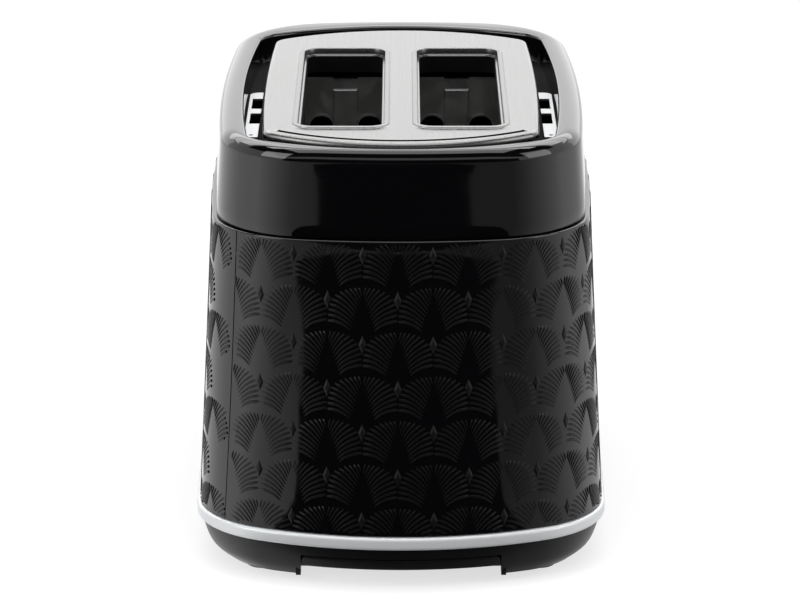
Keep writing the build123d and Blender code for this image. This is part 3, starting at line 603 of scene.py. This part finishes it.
def plateProfile():
    # how far in from the outline and how high: flat rings, the pressed line, the rolled edge and the skirt
    p = plate
    top, sheet, skirtIn = p["top"], p["sheet"], p["skirtInset"]
    under, low, deep = top - sheet, top - p["edgeH"], top - p["lineDeep"]
    inner = p["lineInset"] + p["lineWide"] / 2
    outer, slope = inner - p["lineWide"], p["lineSlope"]
    profile = [(inner + out, top) for out in p["flatRings"]]
    profile += [(inner, top - 0.1), (inner - slope, deep), (outer + slope, deep), (outer, top - 0.05)]
    profile += [(p["roundR"] * (1 - sin(a)), top - p["roundR"] * (1 - cos(a)))
                for a in arcTurns(p["roundSteps"])]
    return profile + [(0.0, low), (sheet, low), (sheet, under), (skirtIn, under), (skirtIn, p["floor"]),
                      (skirtIn + sheet, p["floor"]), (skirtIn + sheet, under)]


def makePlate():
    p = plate
    rings = [plateRing(z, inset) for inset, z in plateProfile()]
    first = len(p["flatRings"])
    for ring in rings[first:first + 4]:
        for k, (x, y, z) in enumerate(ring):
            ring[k] = (x, y, p["top"] - (p["top"] - z) * pressed(k))
    points, faces = bandsBetween(rings, closed=False)
    lips = [[slotRing(side, z, grow) for grow, z in lipProfile()] for side in (-1, 1)]
    for lip in lips:
        addTo(points, faces, *bandsBetween(lip, closed=False))
    addTo(points, faces, *sheetBetween(rings[0], [lip[0] for lip in lips], True))
    addTo(points, faces, *sheetBetween(rings[-1], [lip[-1] for lip in lips], False))
    piece = meshPiece("plateSheet", points, faces, finishes["polished_steel"], 28.0)
    piece.data.materials.append(rolledSteel)
    piece.data.materials.append(paintedShadeBlack)
    count = len(rings[0])
    for face in piece.data.polygons:
        raised = face.center.z / mm - p["top"]
        if face.index < p["outerBands"] * count:
            # of the bands up to the rolled edge, the pressed line is painted near-black as painted shade of
            # its step, and what lies outside it is satin
            if face.index >= count and pressed(face.index % count) > p["lineShows"]:
                face.material_index = 2 if face.index < p["flatBands"] * count else 1
        # below a small depth, the inside of each slot lip is painted near-black as painted shade down in the
        # slot
        elif -p["lipDepth"] - p["lipFrom"] < raised < -p["lipShadeDepth"]:
            face.material_index = 2
        elif raised > p["lipFrom"] or (face.normal.z < 0.95 and face.index > len(rings) * count):
            face.material_index = 1
    return seat(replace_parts(piece, "slot_plate"), "housing")


makePlate()
print("slot plate made")

# Tucked-in skirt of the base, rounder at the corners than the plain shell behind it
skirt = {"outer": ((20.0, 0.6, 1.1), (14.0, 2.0, 2.45), (8.0, 5.0, 4.45), (4.0, 11.0, 7.3)),
         "inner": ((4.4, 18.5, 8.5), (8.0, 12.0, 5.6), (14.0, 6.0, 3.6), (20.0, 2.2, 2.2)),
         "steps": 4, "smooth": 50.0, "holeHalfW": 44.0, "holeLow": -6.0, "holeTop": 14.4, "holeRound": 0.6,
         "holeY": (-170.0, -100.0)}


def curveThrough(points, steps):
    # an even curve through a few places, each given by the same count of numbers
    line = []
    for i in range(len(points) - 1):
        a, b = points[i], points[i + 1]
        before, after = points[max(i - 1, 0)], points[min(i + 2, len(points) - 1)]
        for k in range(steps):
            s = k / steps
            pull = (2 * s ** 3 - 3 * s ** 2 + 1, s ** 3 - 2 * s ** 2 + s,
                    -2 * s ** 3 + 3 * s ** 2, s ** 3 - s ** 2)
            line.append(tuple(pull[0] * a[j] + pull[1] * (b[j] - before[j]) / 2 + pull[2] * b[j]
                              + pull[3] * (after[j] - a[j]) / 2 for j in range(len(a))))
    return line + [points[-1]]


def makeSkirt():
    s = skirt
    profile = curveThrough(s["outer"], s["steps"]) + list(s["inner"])
    rings = [ringAt(casingLoop(casing["ringTop"], 0.0, inW, inL), z) for z, inW, inL in profile]
    piece = meshPiece("baseSkirt", *bandsBetween(rings), finishes["base_black"], s["smooth"])
    hole = roundedPrism("trayHole", s["holeHalfW"], s["holeLow"], s["holeTop"], s["holeRound"], *s["holeY"])
    return seat(cutAway(piece, hole, s["smooth"]), "housing")


makeSkirt()
print("base skirt made")

# Face of the crumb tray: it follows the tucked-in base and stops short of the table
trayFace = {"halfW": 43.6, "low": 8.8, "high": 13.9, "backY": -127.0, "roundR": 2.2, "steps": 44, "rows": 4,
            "edge": 0.5, "sections": ((20.0, 1.2), (14.0, 2.6), (8.0, 4.6), (4.0, 7.5))}


def baseY(x, z):
    # the front of the base at a place across and a height: its sections get shorter on the way down
    for (z1, in1), (z0, in0) in zip(trayFace["sections"], trayFace["sections"][1:]):
        if z >= z0:
            inset = in0 + (in1 - in0) * (z - z0) / (z1 - z0)
            break
    endR = casing["lowEndR"]
    return -(casing["lowHalfL"] - inset - (endR - sqrt(endR ** 2 - x ** 2)))


def makeTrayFace():
    f = trayFace
    low, e, rows = f["low"], f["edge"], f["rows"]
    columns = []
    for i in range(f["steps"] + 1):
        x = f["halfW"] * sin(pi * (i / f["steps"] - 0.5))
        beside = max(f["roundR"] - (f["halfW"] - abs(x)), 0.0)
        high = f["high"] - f["roundR"] + sqrt(f["roundR"] ** 2 - beside ** 2)
        column = [(low, e), (low + eased * e, eased * e)]
        column += [(low + e + (high - low - 2 * e) * k / rows, 0.0) for k in range(rows + 1)]
        column += [(high - eased * e, eased * e), (high, e)]
        ring = [(x, baseY(x, z) + back, z) for z, back in column]
        columns.append(ring + [(x, f["backY"], high), (x, f["backY"], low)])
    points, faces = bandsBetween(columns, closed=False)
    count = len(columns[0])
    faces += [tuple(range(count)), tuple(range(len(points) - 1, len(points) - count - 1, -1))]
    piece = meshPiece("trayFace", points, faces, finishes["base_black"])
    return seat(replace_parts(piece, "tray_front"), "crumb_drawer")


makeTrayFace()
print("tray face made")

# Raised fan pattern: mirrored ribs beside a plain pointed middle, and a diamond between fans
fan = {
    "columns": 26, "rows": 7, "rowPitch": 19.65, "firstTop": 156.4, "phase": -0.045,
    "seamAt": 23.42, "seamGap": 0.045, "seamBlank": 0.53,
    "cellW": 69.0, "cellH": 44.5, "height": 0.4, "sunk": 0.05, "segments": 5,
    "outerEnds": ((34.2, 33.5), (34.0, 27.6), (33.4, 22.2), (32.2, 16.8), (30.0, 11.8), (26.6, 7.6),
                  (22.0, 4.4), (17.0, 2.4), (12.2, 1.1), (7.6, 0.4), (3.4, 0.1)),
    "innerLow": (12.0, 43.0), "innerHigh": (1.2, 9.0), "bendOuter": 24.0, "bendTop": 7.0, "bendAt": 0.5,
    "wideOuter": 3.3, "wideTop": 1.7, "wideInner": 0.55, "swell": 1.6, "ridge": 0.62, "ridgeEnd": 0.3,
    "diamondAt": 13.0, "diamondHalfW": 4.2, "diamondHalfH": 9.8, "diamondHeight": 0.4, "diamondTop": 0.45,
    "guideStep": 10.0, "guideLevels": 15, "skinLean": 0.06, "clearRing": 0.2, "clearPanel": 0.8,
}


def ribLine(i):
    # one rib of the right half: a bent line from the middle's side to the scalloped outline
    f = fan
    t = i / (len(f["outerEnds"]) - 1)
    sx, sy = (a + (b - a) * t for a, b in zip(f["innerLow"], f["innerHigh"]))
    ex, ey = f["outerEnds"][i]
    chord = hypot(ex - sx, ey - sy)
    lean = atan2(sy - ey, ex - sx) + radians(f["bendOuter"] + (f["bendTop"] - f["bendOuter"]) * t)
    cx, cy = sx + f["bendAt"] * chord * cos(lean), sy - f["bendAt"] * chord * sin(lean)
    line = []
    for k in range(f["segments"] + 1):
        s = k / f["segments"]
        line.append(tuple((1 - s) ** 2 * a + 2 * s * (1 - s) * b + s * s * c
                          for a, b, c in ((sx, cx, ex), (sy, cy, ey))))
    return line, f["wideOuter"] + (f["wideTop"] - f["wideOuter"]) * t


def fanMotif():
    # one fan in the unit cell: X in columns, Y in rows downwards, Z its height in metres
    f = fan
    points, faces, shades = [], [], []
    high, sunk = f["height"] * mm, -f["sunk"] * mm
    for side in (1, -1):
        for i in range(len(f["outerEnds"])):
            line, wide = ribLine(i)
            base = len(points)
            for k, (x, y) in enumerate(line):
                ax, ay = line[max(k - 1, 0)]
                bx, by = line[min(k + 1, len(line) - 1)]
                length = hypot(bx - ax, by - ay)
                nx, ny = -(by - ay) / length, (bx - ax) / length
                share = min(1.0, f["swell"] * k / f["segments"])
                half = wide / 2 * (f["wideInner"] + (1 - f["wideInner"]) * share)
                lift = 0.0 if k in (0, len(line) - 1) else high
                flat = f["ridge"] if lift else f["ridgeEnd"]
                for across, z in ((-1, sunk), (-flat, lift), (flat, lift), (1, sunk)):
                    points.append((side * (x + nx * half * across) / f["cellW"],
                                   (y + ny * half * across) / f["cellH"], z))
            for k in range(f["segments"]):
                a, b = base + 4 * k, base + 4 * (k + 1)
                for j in range(3):
                    quad = (a + j, a + j + 1, b + j + 1, b + j)
                    faces.append(quad if side < 0 else quad[::-1])
                    shades.append(False)
    cx, cy = 0.5, f["diamondAt"] / f["cellH"]
    w, h = f["diamondHalfW"] / f["cellW"], f["diamondHalfH"] / f["cellH"]
    base = len(points)
    for size, z in ((1.0, sunk), (f["diamondTop"], f["diamondHeight"] * mm)):
        points += [(cx + w * size, cy, z), (cx, cy + h * size, z),
                   (cx - w * size, cy, z), (cx, cy - h * size, z)]
    faces += [(base + i, base + (i + 1) % 4, base + 4 + (i + 1) % 4, base + 4 + i)[::-1] for i in range(4)]
    faces.append((base + 4, base + 5, base + 6, base + 7))
    shades += [True] * 5
    mesh = bpy.data.meshes.new("fanMotif")
    mesh.from_pydata(points, [], faces)
    mark = mesh.attributes.new("facet", "BOOLEAN", "FACE")
    for item, value in zip(mark.data, shades):
        item.value = value
    return objectOf("fanMotif", mesh)


def patternGuide():
    # the sleeve's skin, a little taller than it is, with its own map: U once round, V by height
    levels = [casing["ringTop"] + fan["guideStep"] * (i - 1) for i in range(fan["guideLevels"])]
    rings = [skinRing(z) for z in levels]
    count = len(rings[0])
    wide = count + 1
    points, normals, faces, maps = [], [], [], []
    for ring in rings:
        lengths = [0.0]
        for i in range(count):
            a, b = ring[i], ring[(i + 1) % count]
            lengths.append(lengths[-1] + hypot(b[0] - a[0], b[1] - a[1]))
        for i in range(wide):
            x, y, z = ring[i % count]
            before, after = ring[(i - 1) % count], ring[(i + 1) % count]
            tx, ty = after[0] - before[0], after[1] - before[1]
            points.append((x * mm, (y + midY) * mm, z * mm))
            normals.append(Vector((ty, -tx, fan["skinLean"] * hypot(tx, ty))).normalized())
            maps.append((lengths[i] / lengths[-1], (z - levels[0]) / (levels[-1] - levels[0])))
    for r in range(len(rings) - 1):
        low, high = r * wide, (r + 1) * wide
        faces += [(low + i, low + i + 1, high + i + 1, high + i) for i in range(count)]
    mesh = bpy.data.meshes.new("patternGuide")
    mesh.from_pydata(points, [], faces)
    skin = mesh.attributes.new("skinNormal", "FLOAT_VECTOR", "POINT")
    place = mesh.attributes.new("skinMap", "FLOAT_VECTOR", "POINT")
    for i, (n, (u, v)) in enumerate(zip(normals, maps)):
        skin.data[i].vector = n
        place.data[i].vector = (u, v, 0.0)
    return objectOf("patternGuide", mesh), levels[0], levels[-1]


def newTree(name, kinds):
    # an empty Geometry Nodes tree with these named inputs, and the sockets that give their values
    tree = bpy.data.node_groups.new(name, "GeometryNodeTree")
    for label, kind in kinds.items():
        tree.interface.new_socket(name=label, in_out="INPUT", socket_type="NodeSocket" + kind)
    tree.interface.new_socket(name="Geometry", in_out="OUTPUT", socket_type="NodeSocketGeometry")
    given = addNode(tree, "NodeGroupInput").outputs
    values = {label: given[label] for label in kinds}
    values["index"] = addNode(tree, "GeometryNodeInputIndex").outputs[0]
    return tree, values


def copiesOf(tree, item, count, position=(0, 0, 0), rotation=(0, 0, 0)):
    # copies of an object on loose points, made real
    dots = addNode(tree, "GeometryNodePoints", {"Count": count, "Position": position}).outputs[0]
    copied = addNode(tree, "GeometryNodeObjectInfo", {"Object": item}).outputs["Geometry"]
    copies = addNode(tree, "GeometryNodeInstanceOnPoints",
                     {"Points": dots, "Instance": copied, "Rotation": rotation}).outputs[0]
    return addNode(tree, "GeometryNodeRealizeInstances", {"Geometry": copies}).outputs[0]


def readPlace(tree, values, names):
    # the coordinates of the geometry's own points, under three names
    place = addNode(tree, "GeometryNodeInputPosition").outputs[0]
    values.update(zip(names, addNode(tree, "ShaderNodeSeparateXYZ", {0: place}).outputs))


def patternTree():
    tree, values = newTree("fanPattern", {
        "Motif": "Object", "Guide": "Object", "Columns": "Int", "Rows": "Int", "Phase": "Float",
        "Seam": "Float", "Seam gap": "Float", "Seam blank": "Float", "Top": "Float", "Row share": "Float",
        "Lowest": "Float", "Panel half width": "Float", "Panel low": "Float", "Panel high": "Float",
        "Rib finish": "Material", "Facet finish": "Material"})
    # fans in a flat field of cells, each second row half a cell along
    workOut(tree, values, (
        ("column", "MODULO", "index", "Columns"), ("midway", "ADD", "index", 0.5),
        ("rowsPast", "DIVIDE", "midway", "Columns"), ("row", "FLOOR", "rowsPast"),
        ("odd", "MODULO", "row", 2.0), ("shift", "MULTIPLY", "odd", 0.5),
        ("across", "ADD", "column", "shift"), ("across", "ADD", "across", "Phase"),
        ("total", "MULTIPLY", "Columns", "Rows")))
    spot = addNode(tree, "ShaderNodeCombineXYZ", {0: values["across"], 1: values["row"]}).outputs[0]
    flat = copiesOf(tree, values["Motif"], values["total"], position=spot)
    # nothing stands on the seam, nor in the blank beside it in every second row
    readPlace(tree, values, ("x", "y", "height"))
    cutOff = workOut(tree, values, (
        ("past", "SUBTRACT", "x", "Seam"), ("cell", "FLOOR", "y"), ("odd", "MODULO", "cell", 2.0),
        ("before", "LESS_THAN", "past", 0.0), ("near", "GREATER_THAN", "past", "Seam blank"),
        ("blank", "MULTIPLY", "before", "near"), ("blank", "MULTIPLY", "blank", "odd"),
        ("aside", "ABSOLUTE", "past"), ("atSeam", "LESS_THAN", "aside", "Seam gap"),
        ("either", "ADD", "blank", "atSeam"), ("cutOff", "GREATER_THAN", "either", 0.5)))
    flat = addNode(tree, "GeometryNodeDeleteGeometry", {"Geometry": flat, "Selection": cutOff},
                   domain="POINT").outputs[0]
    # the flat field is laid on the guide by the guide's map, and its height follows the guide's normals
    workOut(tree, values, (
        ("rounds", "DIVIDE", "x", "Columns"), ("u", "FRACT", "rounds"),
        ("down", "MULTIPLY", "y", "Row share"), ("v", "SUBTRACT", "Top", "down")))
    where = addNode(tree, "ShaderNodeCombineXYZ", {0: values["u"], 1: values["v"]}).outputs[0]
    guide = addNode(tree, "GeometryNodeObjectInfo", {"Object": values["Guide"]}).outputs["Geometry"]
    guideMap, normal, facet = (
        addNode(tree, "GeometryNodeInputNamedAttribute", {"Name": name}, data_type=kind).outputs[0]
        for name, kind in (("skinMap", "FLOAT_VECTOR"), ("skinNormal", "FLOAT_VECTOR"), ("facet", "BOOLEAN")))
    found = [addNode(tree, "GeometryNodeSampleUVSurface",
                     {"Mesh": guide, "Value": value, 2: guideMap, "Sample UV": where},
                     data_type="FLOAT_VECTOR").outputs["Value"]
             for value in (addNode(tree, "GeometryNodeInputPosition").outputs[0], normal)]
    lift = addNode(tree, "ShaderNodeVectorMath", {0: found[1], "Scale": values["height"]}, operation="SCALE")
    place = addNode(tree, "ShaderNodeVectorMath", {0: found[0], 1: lift.outputs[0]}, operation="ADD")
    wrapped = addNode(tree, "GeometryNodeSetPosition", {"Geometry": flat, "Position": place.outputs[0]})
    # nothing stands below the sleeve's foot or on the control panel
    readPlace(tree, values, ("x", "y", "z"))
    gone = workOut(tree, values, (
        ("low", "LESS_THAN", "z", "Lowest"), ("aside", "ABSOLUTE", "x"),
        ("inside", "LESS_THAN", "aside", "Panel half width"), ("behind", "GREATER_THAN", "y", 0.0),
        ("inside", "MULTIPLY", "inside", "behind"), ("above", "GREATER_THAN", "z", "Panel low"),
        ("inside", "MULTIPLY", "inside", "above"), ("below", "LESS_THAN", "z", "Panel high"),
        ("inside", "MULTIPLY", "inside", "below"),
        ("either", "ADD", "low", "inside"), ("gone", "GREATER_THAN", "either", 0.5)))
    kept = addNode(tree, "GeometryNodeDeleteGeometry", {"Geometry": wrapped.outputs[0], "Selection": gone},
                   domain="POINT").outputs[0]
    ribbed = addNode(tree, "GeometryNodeSetMaterial", {"Geometry": kept, "Material": values["Rib finish"]})
    done = addNode(tree, "GeometryNodeSetMaterial", {
        "Geometry": ribbed.outputs[0], "Selection": facet, "Material": values["Facet finish"]}).outputs[0]
    tree.links.new(done, addNode(tree, "NodeGroupOutput").inputs[0])
    return tree


def grow(name, tree, values):
    # runs a tree on an empty mesh and keeps its result as a plain mesh
    piece = objectOf(name, bpy.data.meshes.new(name))
    maker = piece.modifiers.new("maker", "NODES")
    maker.node_group = tree
    for item in tree.interface.items_tree:
        if item.item_type == "SOCKET" and item.in_out == "INPUT" and item.name in values:
            maker[item.identifier] = values[item.name]
    return bakeModifiers(piece)


def makePattern():
    motif = fanMotif()
    guide, lowZ, highZ = patternGuide()
    clear = fan["clearPanel"]
    piece = grow("sleevePattern", patternTree(), {
        "Motif": motif, "Guide": guide, "Columns": fan["columns"], "Rows": fan["rows"], "Phase": fan["phase"],
        "Seam": fan["seamAt"], "Seam gap": fan["seamGap"], "Seam blank": -fan["seamBlank"],
        "Top": (fan["firstTop"] - lowZ) / (highZ - lowZ), "Row share": fan["rowPitch"] / (highZ - lowZ),
        "Lowest": (casing["ringTop"] + fan["clearRing"]) * mm, "Panel low": (sleeve["panelLow"] - clear) * mm,
        "Panel high": (sleeve["panelHigh"] + clear) * mm,
        "Panel half width": (sleeve["panelHalfW"] + clear) * mm,
        "Rib finish": ribSatin, "Facet finish": diamondSatin})
    for helper in (motif, guide):
        bpy.data.objects.remove(helper)
    print("fan pattern has", len(piece.data.polygons), "faces")
    return seat(piece, "housing")


makePattern()

# Printed marks on the control panel: ticks and numbers round the dial, a word under each key
marks = {"dialZ": 52.0, "firstTurn": -135.0, "lastTurn": 135.0, "count": 11, "tickR": 17.6, "tickL": 1.8,
         "tickHalfW": 0.3, "tickTaper": 0.6, "numberEvery": 2, "numberR": 21.6, "numberSize": 3.2,
         "wordSize": 3.1, "wordSteps": 4, "keyX": -16.0, "wordDrop": 9.6,
         "panelProud": 0.6, "raised": 0.12, "sunk": 0.25,
         "words": (("CANCEL", 86.0), ("REHEAT", 108.0), ("DEFROST", 130.0)),
         "pointerHalfW": 0.5, "pointerLow": 4.2, "pointerHigh": 12.7, "pointerRound": 0.45,
         "pointerDeep": 0.75, "pointerUnder": 0.12}


def panelFace(x, z):
    # the outside of the control panel at a place across and a height
    _, halfL, endR = endPlan(z)
    rise = (z - casing["ringTop"]) / (casing["seam"] - casing["ringTop"])
    return halfL + casing["sleeveProud"] * rise + marks["panelProud"] - (endR - sqrt(endR ** 2 - x ** 2))


def tickTree():
    tree, values = newTree("dialTicks", {
        "Tick": "Object", "Count": "Int", "First turn": "Float", "Step": "Float", "Finish": "Material"})
    turn = workOut(tree, values, (
        ("steps", "MULTIPLY", "index", "Step"), ("turn", "ADD", "steps", "First turn"),
        ("turn", "MULTIPLY", "turn", -1.0)))
    turned = addNode(tree, "ShaderNodeCombineXYZ", {1: turn}).outputs[0]
    ticks = copiesOf(tree, values["Tick"], values["Count"], rotation=turned)
    done = addNode(tree, "GeometryNodeSetMaterial", {"Geometry": ticks, "Material": values["Finish"]})
    tree.links.new(done.outputs[0], addNode(tree, "NodeGroupOutput").inputs[0])
    return tree


def printedOn(mesh, x0, z0, points, faces):
    # adds a flat mark's mesh to the lists: its X across to the viewer's left, Y outwards, Z up, in mm
    spots = []
    for vertex in mesh.vertices:
        a, out, b = vertex.co / mm
        spots.append((x0 + a, panelFace(x0 + a, z0 + b) + out, z0 + b))
    addTo(points, faces, spots, [face.vertices for face in mesh.polygons])


def wordMesh(word, size):
    # a word as a solid mesh that reads from the +Y side
    curve = bpy.data.curves.new(word, "FONT")
    curve.body, curve.size, curve.extrude = word, size * mm, (marks["raised"] + marks["sunk"]) / 2 * mm
    curve.align_x, curve.align_y, curve.resolution_u = "CENTER", "CENTER", marks["wordSteps"]
    thing = objectOf(word, curve)
    mesh = bpy.data.meshes.new_from_object(thing.evaluated_get(bpy.context.evaluated_depsgraph_get()))
    for vertex in mesh.vertices:
        x, y, z = vertex.co
        vertex.co = (-x, z + (marks["raised"] - marks["sunk"]) / 2 * mm, y)
    bpy.data.objects.remove(thing)
    return mesh


def makeMarks():
    m = marks
    w, low, high = m["tickHalfW"], m["tickR"], m["tickR"] + m["tickL"]
    narrow = m["tickTaper"] * w
    outline = ((-w, low), (w, low), (narrow, high), (-narrow, high))
    corners, quads = barAlongY(outline, -m["sunk"], m["raised"])
    tickMesh = bpy.data.meshes.new("dialTick")
    tickMesh.from_pydata([(x * mm, y * mm, z * mm) for x, y, z in corners], [], quads)
    tick = objectOf("dialTick", tickMesh)
    step = (m["lastTurn"] - m["firstTurn"]) / (m["count"] - 1)
    ticks = grow("dialTicks", tickTree(), {
        "Tick": tick, "Count": m["count"], "First turn": radians(m["firstTurn"]),
        "Step": radians(step), "Finish": printedWhite})
    points, faces = [], []
    printedOn(ticks.data, 0.0, m["dialZ"], points, faces)
    for helper in (tick, ticks):
        bpy.data.objects.remove(helper)
    for k in range(0, m["count"], m["numberEvery"]):
        a = radians(m["firstTurn"] + step * k)
        number = wordMesh(str(k // m["numberEvery"] + 1), m["numberSize"])
        printedOn(number, -m["numberR"] * sin(a), m["dialZ"] + m["numberR"] * cos(a), points, faces)
    for word, z in m["words"]:
        printedOn(wordMesh(word, m["wordSize"]), m["keyX"], z - m["wordDrop"], points, faces)
    piece = meshPiece("panelMarks", points, faces, printedWhite)
    seat(piece, "housing")
    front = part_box("browning_knob")[1].y / mm - midY
    pointer = roundedPrism("dialPointer", m["pointerHalfW"], m["dialZ"] + m["pointerLow"],
                           m["dialZ"] + m["pointerHigh"], m["pointerRound"],
                           front - m["pointerDeep"], front - m["pointerUnder"])
    return seat(pointer, "browning_dial")


makeMarks()
print("control marks made")

# Camera, floor and light
view = {"elevation": 16.0, "distance": 1.88, "lens": 184.4, "sensor": 36.0, "shiftX": -0.00125,
        "clipEnd": 60.0, "target": (0.0, -20.7, 98.0)}


def lookAlong(thing, place, direction):
    # puts a camera or a lamp at a place, looking in a direction
    thing.location = place
    thing.rotation_mode = "QUATERNION"
    thing.rotation_quaternion = direction.to_track_quat("-Z", "Y")


def makeCamera():
    camera = objectOf("photoCamera", bpy.data.cameras.new("photoCamera"))
    e = radians(view["elevation"])
    tx, ty, tz = view["target"]
    target = Vector((tx * mm, (ty + midY) * mm, tz * mm))
    back = Vector((0, -cos(e), sin(e)))
    lookAlong(camera, target + back * view["distance"], -back)
    camera.data.lens, camera.data.sensor_width = view["lens"], view["sensor"]
    camera.data.shift_x, camera.data.clip_end = view["shiftX"], view["clipEnd"]
    scene.camera = camera


makeCamera()

# The studio, in metres: a card's row is its half width along X, its two long edges as Y and Z, and its glow
studio = {
    "floor": "#9A9A9A", "floorHalf": 12.0, "floorLift": 0.68, "worldSoft": 0.75,
    "lamps": (("overheadSoft", (0.0, -0.3, 1.7), 1.6, 22), ("leftSoft", (-1.5, -1.0, 0.9), 1.0, 12),
              ("rightSoft", (1.6, -0.6, 0.8), 1.0, 8)),
    "aim": (0.0, 0.0, 0.1),
    "flagLeft": ((-0.105, -0.150), (-0.140, -0.265), (-0.228, -0.420), (-0.292, -0.635), (-0.326, -0.958),
                 (-0.362, -1.310)),
    "flagRight": ((0.105, -0.150), (0.135, -0.268), (0.216, -0.426), (0.272, -0.644), (0.292, -0.966),
                  (0.310, -1.320)),
    "flagEnd": -2.2, "flagZ": 0.001, "glowHalf": 6.0, "glowZ": 0.0005, "glowScale": 2.0, "glowMiddleY": -0.1,
    "glowByTurn": ((-180, 0.55), (-100, 0.65), (-75, 0.8), (-54, 0.5), (-36, 0.25), (-15, 0.16),
                   (15, 0.11), (38, 0.11), (50, 0.18), (62, 0.3), (78, 0.45), (100, 0.62), (130, 0.4),
                   (180, 0.55)),
    "cards": (("darkCeiling", 3, (0.75, 2.0), (-1.6, 2.0), 0.0),
              ("darkFront", 3, (-1.6, 2.0), (-2.5, 1.25), 0.0),
              ("darkLow", 3, (-3.0, 0.0), (-3.0, 0.85), 0.0),
              ("brightStrip", 2, (0.95, 2.0), (1.9, 1.9), 5.0),
              ("brightBand", 3, (3.9, 1.7), (3.9, 2.4), 3.5),
              ("brightGap", 3, (1.9, 1.9), (4.0, 2.6), 3.5),
              ("overheadBand", 1, (0.05, 1.6), (0.42, 1.6), 7.0),
              ("brightBack", 5, (4.0, 0.0), (4.0, 2.6), 1.7)),
}


def squareAt(half, z):
    return [(x * half, y * half, z) for x, y in ((-1, -1), (1, -1), (1, 1), (-1, 1))]


def studioSheet(name, corners, colour, rough, glow):
    # a flat matte sheet of the studio, which may glow white
    mesh = bpy.data.meshes.new(name)
    mesh.from_pydata(corners, [], [tuple(range(len(corners)))])
    material = bpy.data.materials.new(name)
    material.use_nodes = True
    shader = material.node_tree.nodes["Principled BSDF"]
    for label, value in (("Base Color", hexColour(colour)), ("Roughness", rough), ("Specular IOR Level", 0.0),
                         ("Emission Color", (1, 1, 1, 1)), ("Emission Strength", glow)):
        shader.inputs[label].default_value = value
    mesh.materials.append(material)
    sheet = objectOf(name, mesh)
    return sheet, material.node_tree, shader.inputs["Emission Strength"]


def glossCard(name, corners, glow):
    # a card that only shiny surfaces see, black when it doesn't glow
    card, tree, strength = studioSheet(name, corners, "#000000", 1.0, glow)
    card.visible_camera = card.visible_diffuse = card.visible_shadow = False
    card.visible_transmission = card.visible_volume_scatter = False
    return tree, strength


def makeFloor():
    # the floor shows white to the camera and to shiny surfaces, and keeps its shadow
    corners = squareAt(studio["floorHalf"], 0.0)
    _, tree, strength = studioSheet("studioFloor", corners, studio["floor"], 0.9, 1.0)
    values = dict(addNode(tree, "ShaderNodeLightPath").outputs.items())
    lift = workOut(tree, values, (
        ("seen", "MAXIMUM", "Is Camera Ray", "Is Glossy Ray"),
        ("lift", "MULTIPLY", "seen", studio["floorLift"])))
    tree.links.new(lift, strength)


def makeWorld():
    # white where it is seen or mirrored, softer as a light
    world = bpy.data.worlds.new("studioWorld")
    scene.world = world
    world.use_nodes = True
    tree = world.node_tree
    tree.nodes.clear()
    values = dict(addNode(tree, "ShaderNodeLightPath").outputs.items())
    seen = workOut(tree, values, (
        ("mirrored", "MAXIMUM", "Is Glossy Ray", "Is Transmission Ray"),
        ("seen", "MAXIMUM", "Is Camera Ray", "mirrored")))
    level = addNode(tree, "ShaderNodeMapRange", {0: seen, 3: studio["worldSoft"], 4: 1.0}).outputs[0]
    glow = addNode(tree, "ShaderNodeBackground", {"Color": (1, 1, 1, 1), "Strength": level})
    tree.links.new(glow.outputs[0], addNode(tree, "ShaderNodeOutputWorld").inputs[0])


def makeLamps():
    for name, place, size, power in studio["lamps"]:
        lamp = bpy.data.lights.new(name, "AREA")
        lamp.shape, lamp.energy = "RECTANGLE", power
        lamp.size = lamp.size_y = size
        lookAlong(objectOf(name, lamp), place, Vector(studio["aim"]) - Vector(place))


def makeCards():
    # the black card on the floor that the glossy end mirrors; its edges follow where the mirrored card ends
    left, right, end = studio["flagLeft"], studio["flagRight"], studio["flagEnd"]
    outline = list(right) + [(right[-1][0], end), (left[-1][0], end)] + list(left)[::-1]
    glossCard("floorFlag", [(x, y, studio["flagZ"]) for x, y in outline], 0.0)
    # the floor as shiny surfaces see it, by the turn round the toaster: dim in front, brighter at the sides
    tree, strength = glossCard("floorGlow", squareAt(studio["glowHalf"], studio["glowZ"]), 1.0)
    place = addNode(tree, "ShaderNodeTexCoord").outputs["Object"]
    values = dict(zip("xyz", addNode(tree, "ShaderNodeSeparateXYZ", {0: place}).outputs))
    turn = workOut(tree, values, (
        ("ahead", "SUBTRACT", studio["glowMiddleY"], "y"), ("turn", "ARCTAN2", "x", "ahead"),
        ("share", "DIVIDE", "turn", 2 * pi), ("share", "ADD", "share", 0.5)))
    ramp = addNode(tree, "ShaderNodeValToRGB", {0: turn})
    while len(ramp.color_ramp.elements) < len(studio["glowByTurn"]):
        ramp.color_ramp.elements.new(0.5)
    for stop, (angle, level) in zip(ramp.color_ramp.elements, studio["glowByTurn"]):
        stop.position = angle / 360 + 0.5
        stop.color = (level, level, level, 1.0)
    values["level"] = ramp.outputs[0]
    tree.links.new(workOut(tree, values, (("glow", "MULTIPLY", "level", studio["glowScale"]),)), strength)
    # a dark ceiling and front, and bright bands behind, above and at the back
    for name, half, (y0, z0), (y1, z1), glow in studio["cards"]:
        glossCard(name, [(-half, y0, z0), (half, y0, z0), (half, y1, z1), (-half, y1, z1)], glow)


makeFloor()
makeWorld()
makeLamps()
makeCards()
print("studio made")
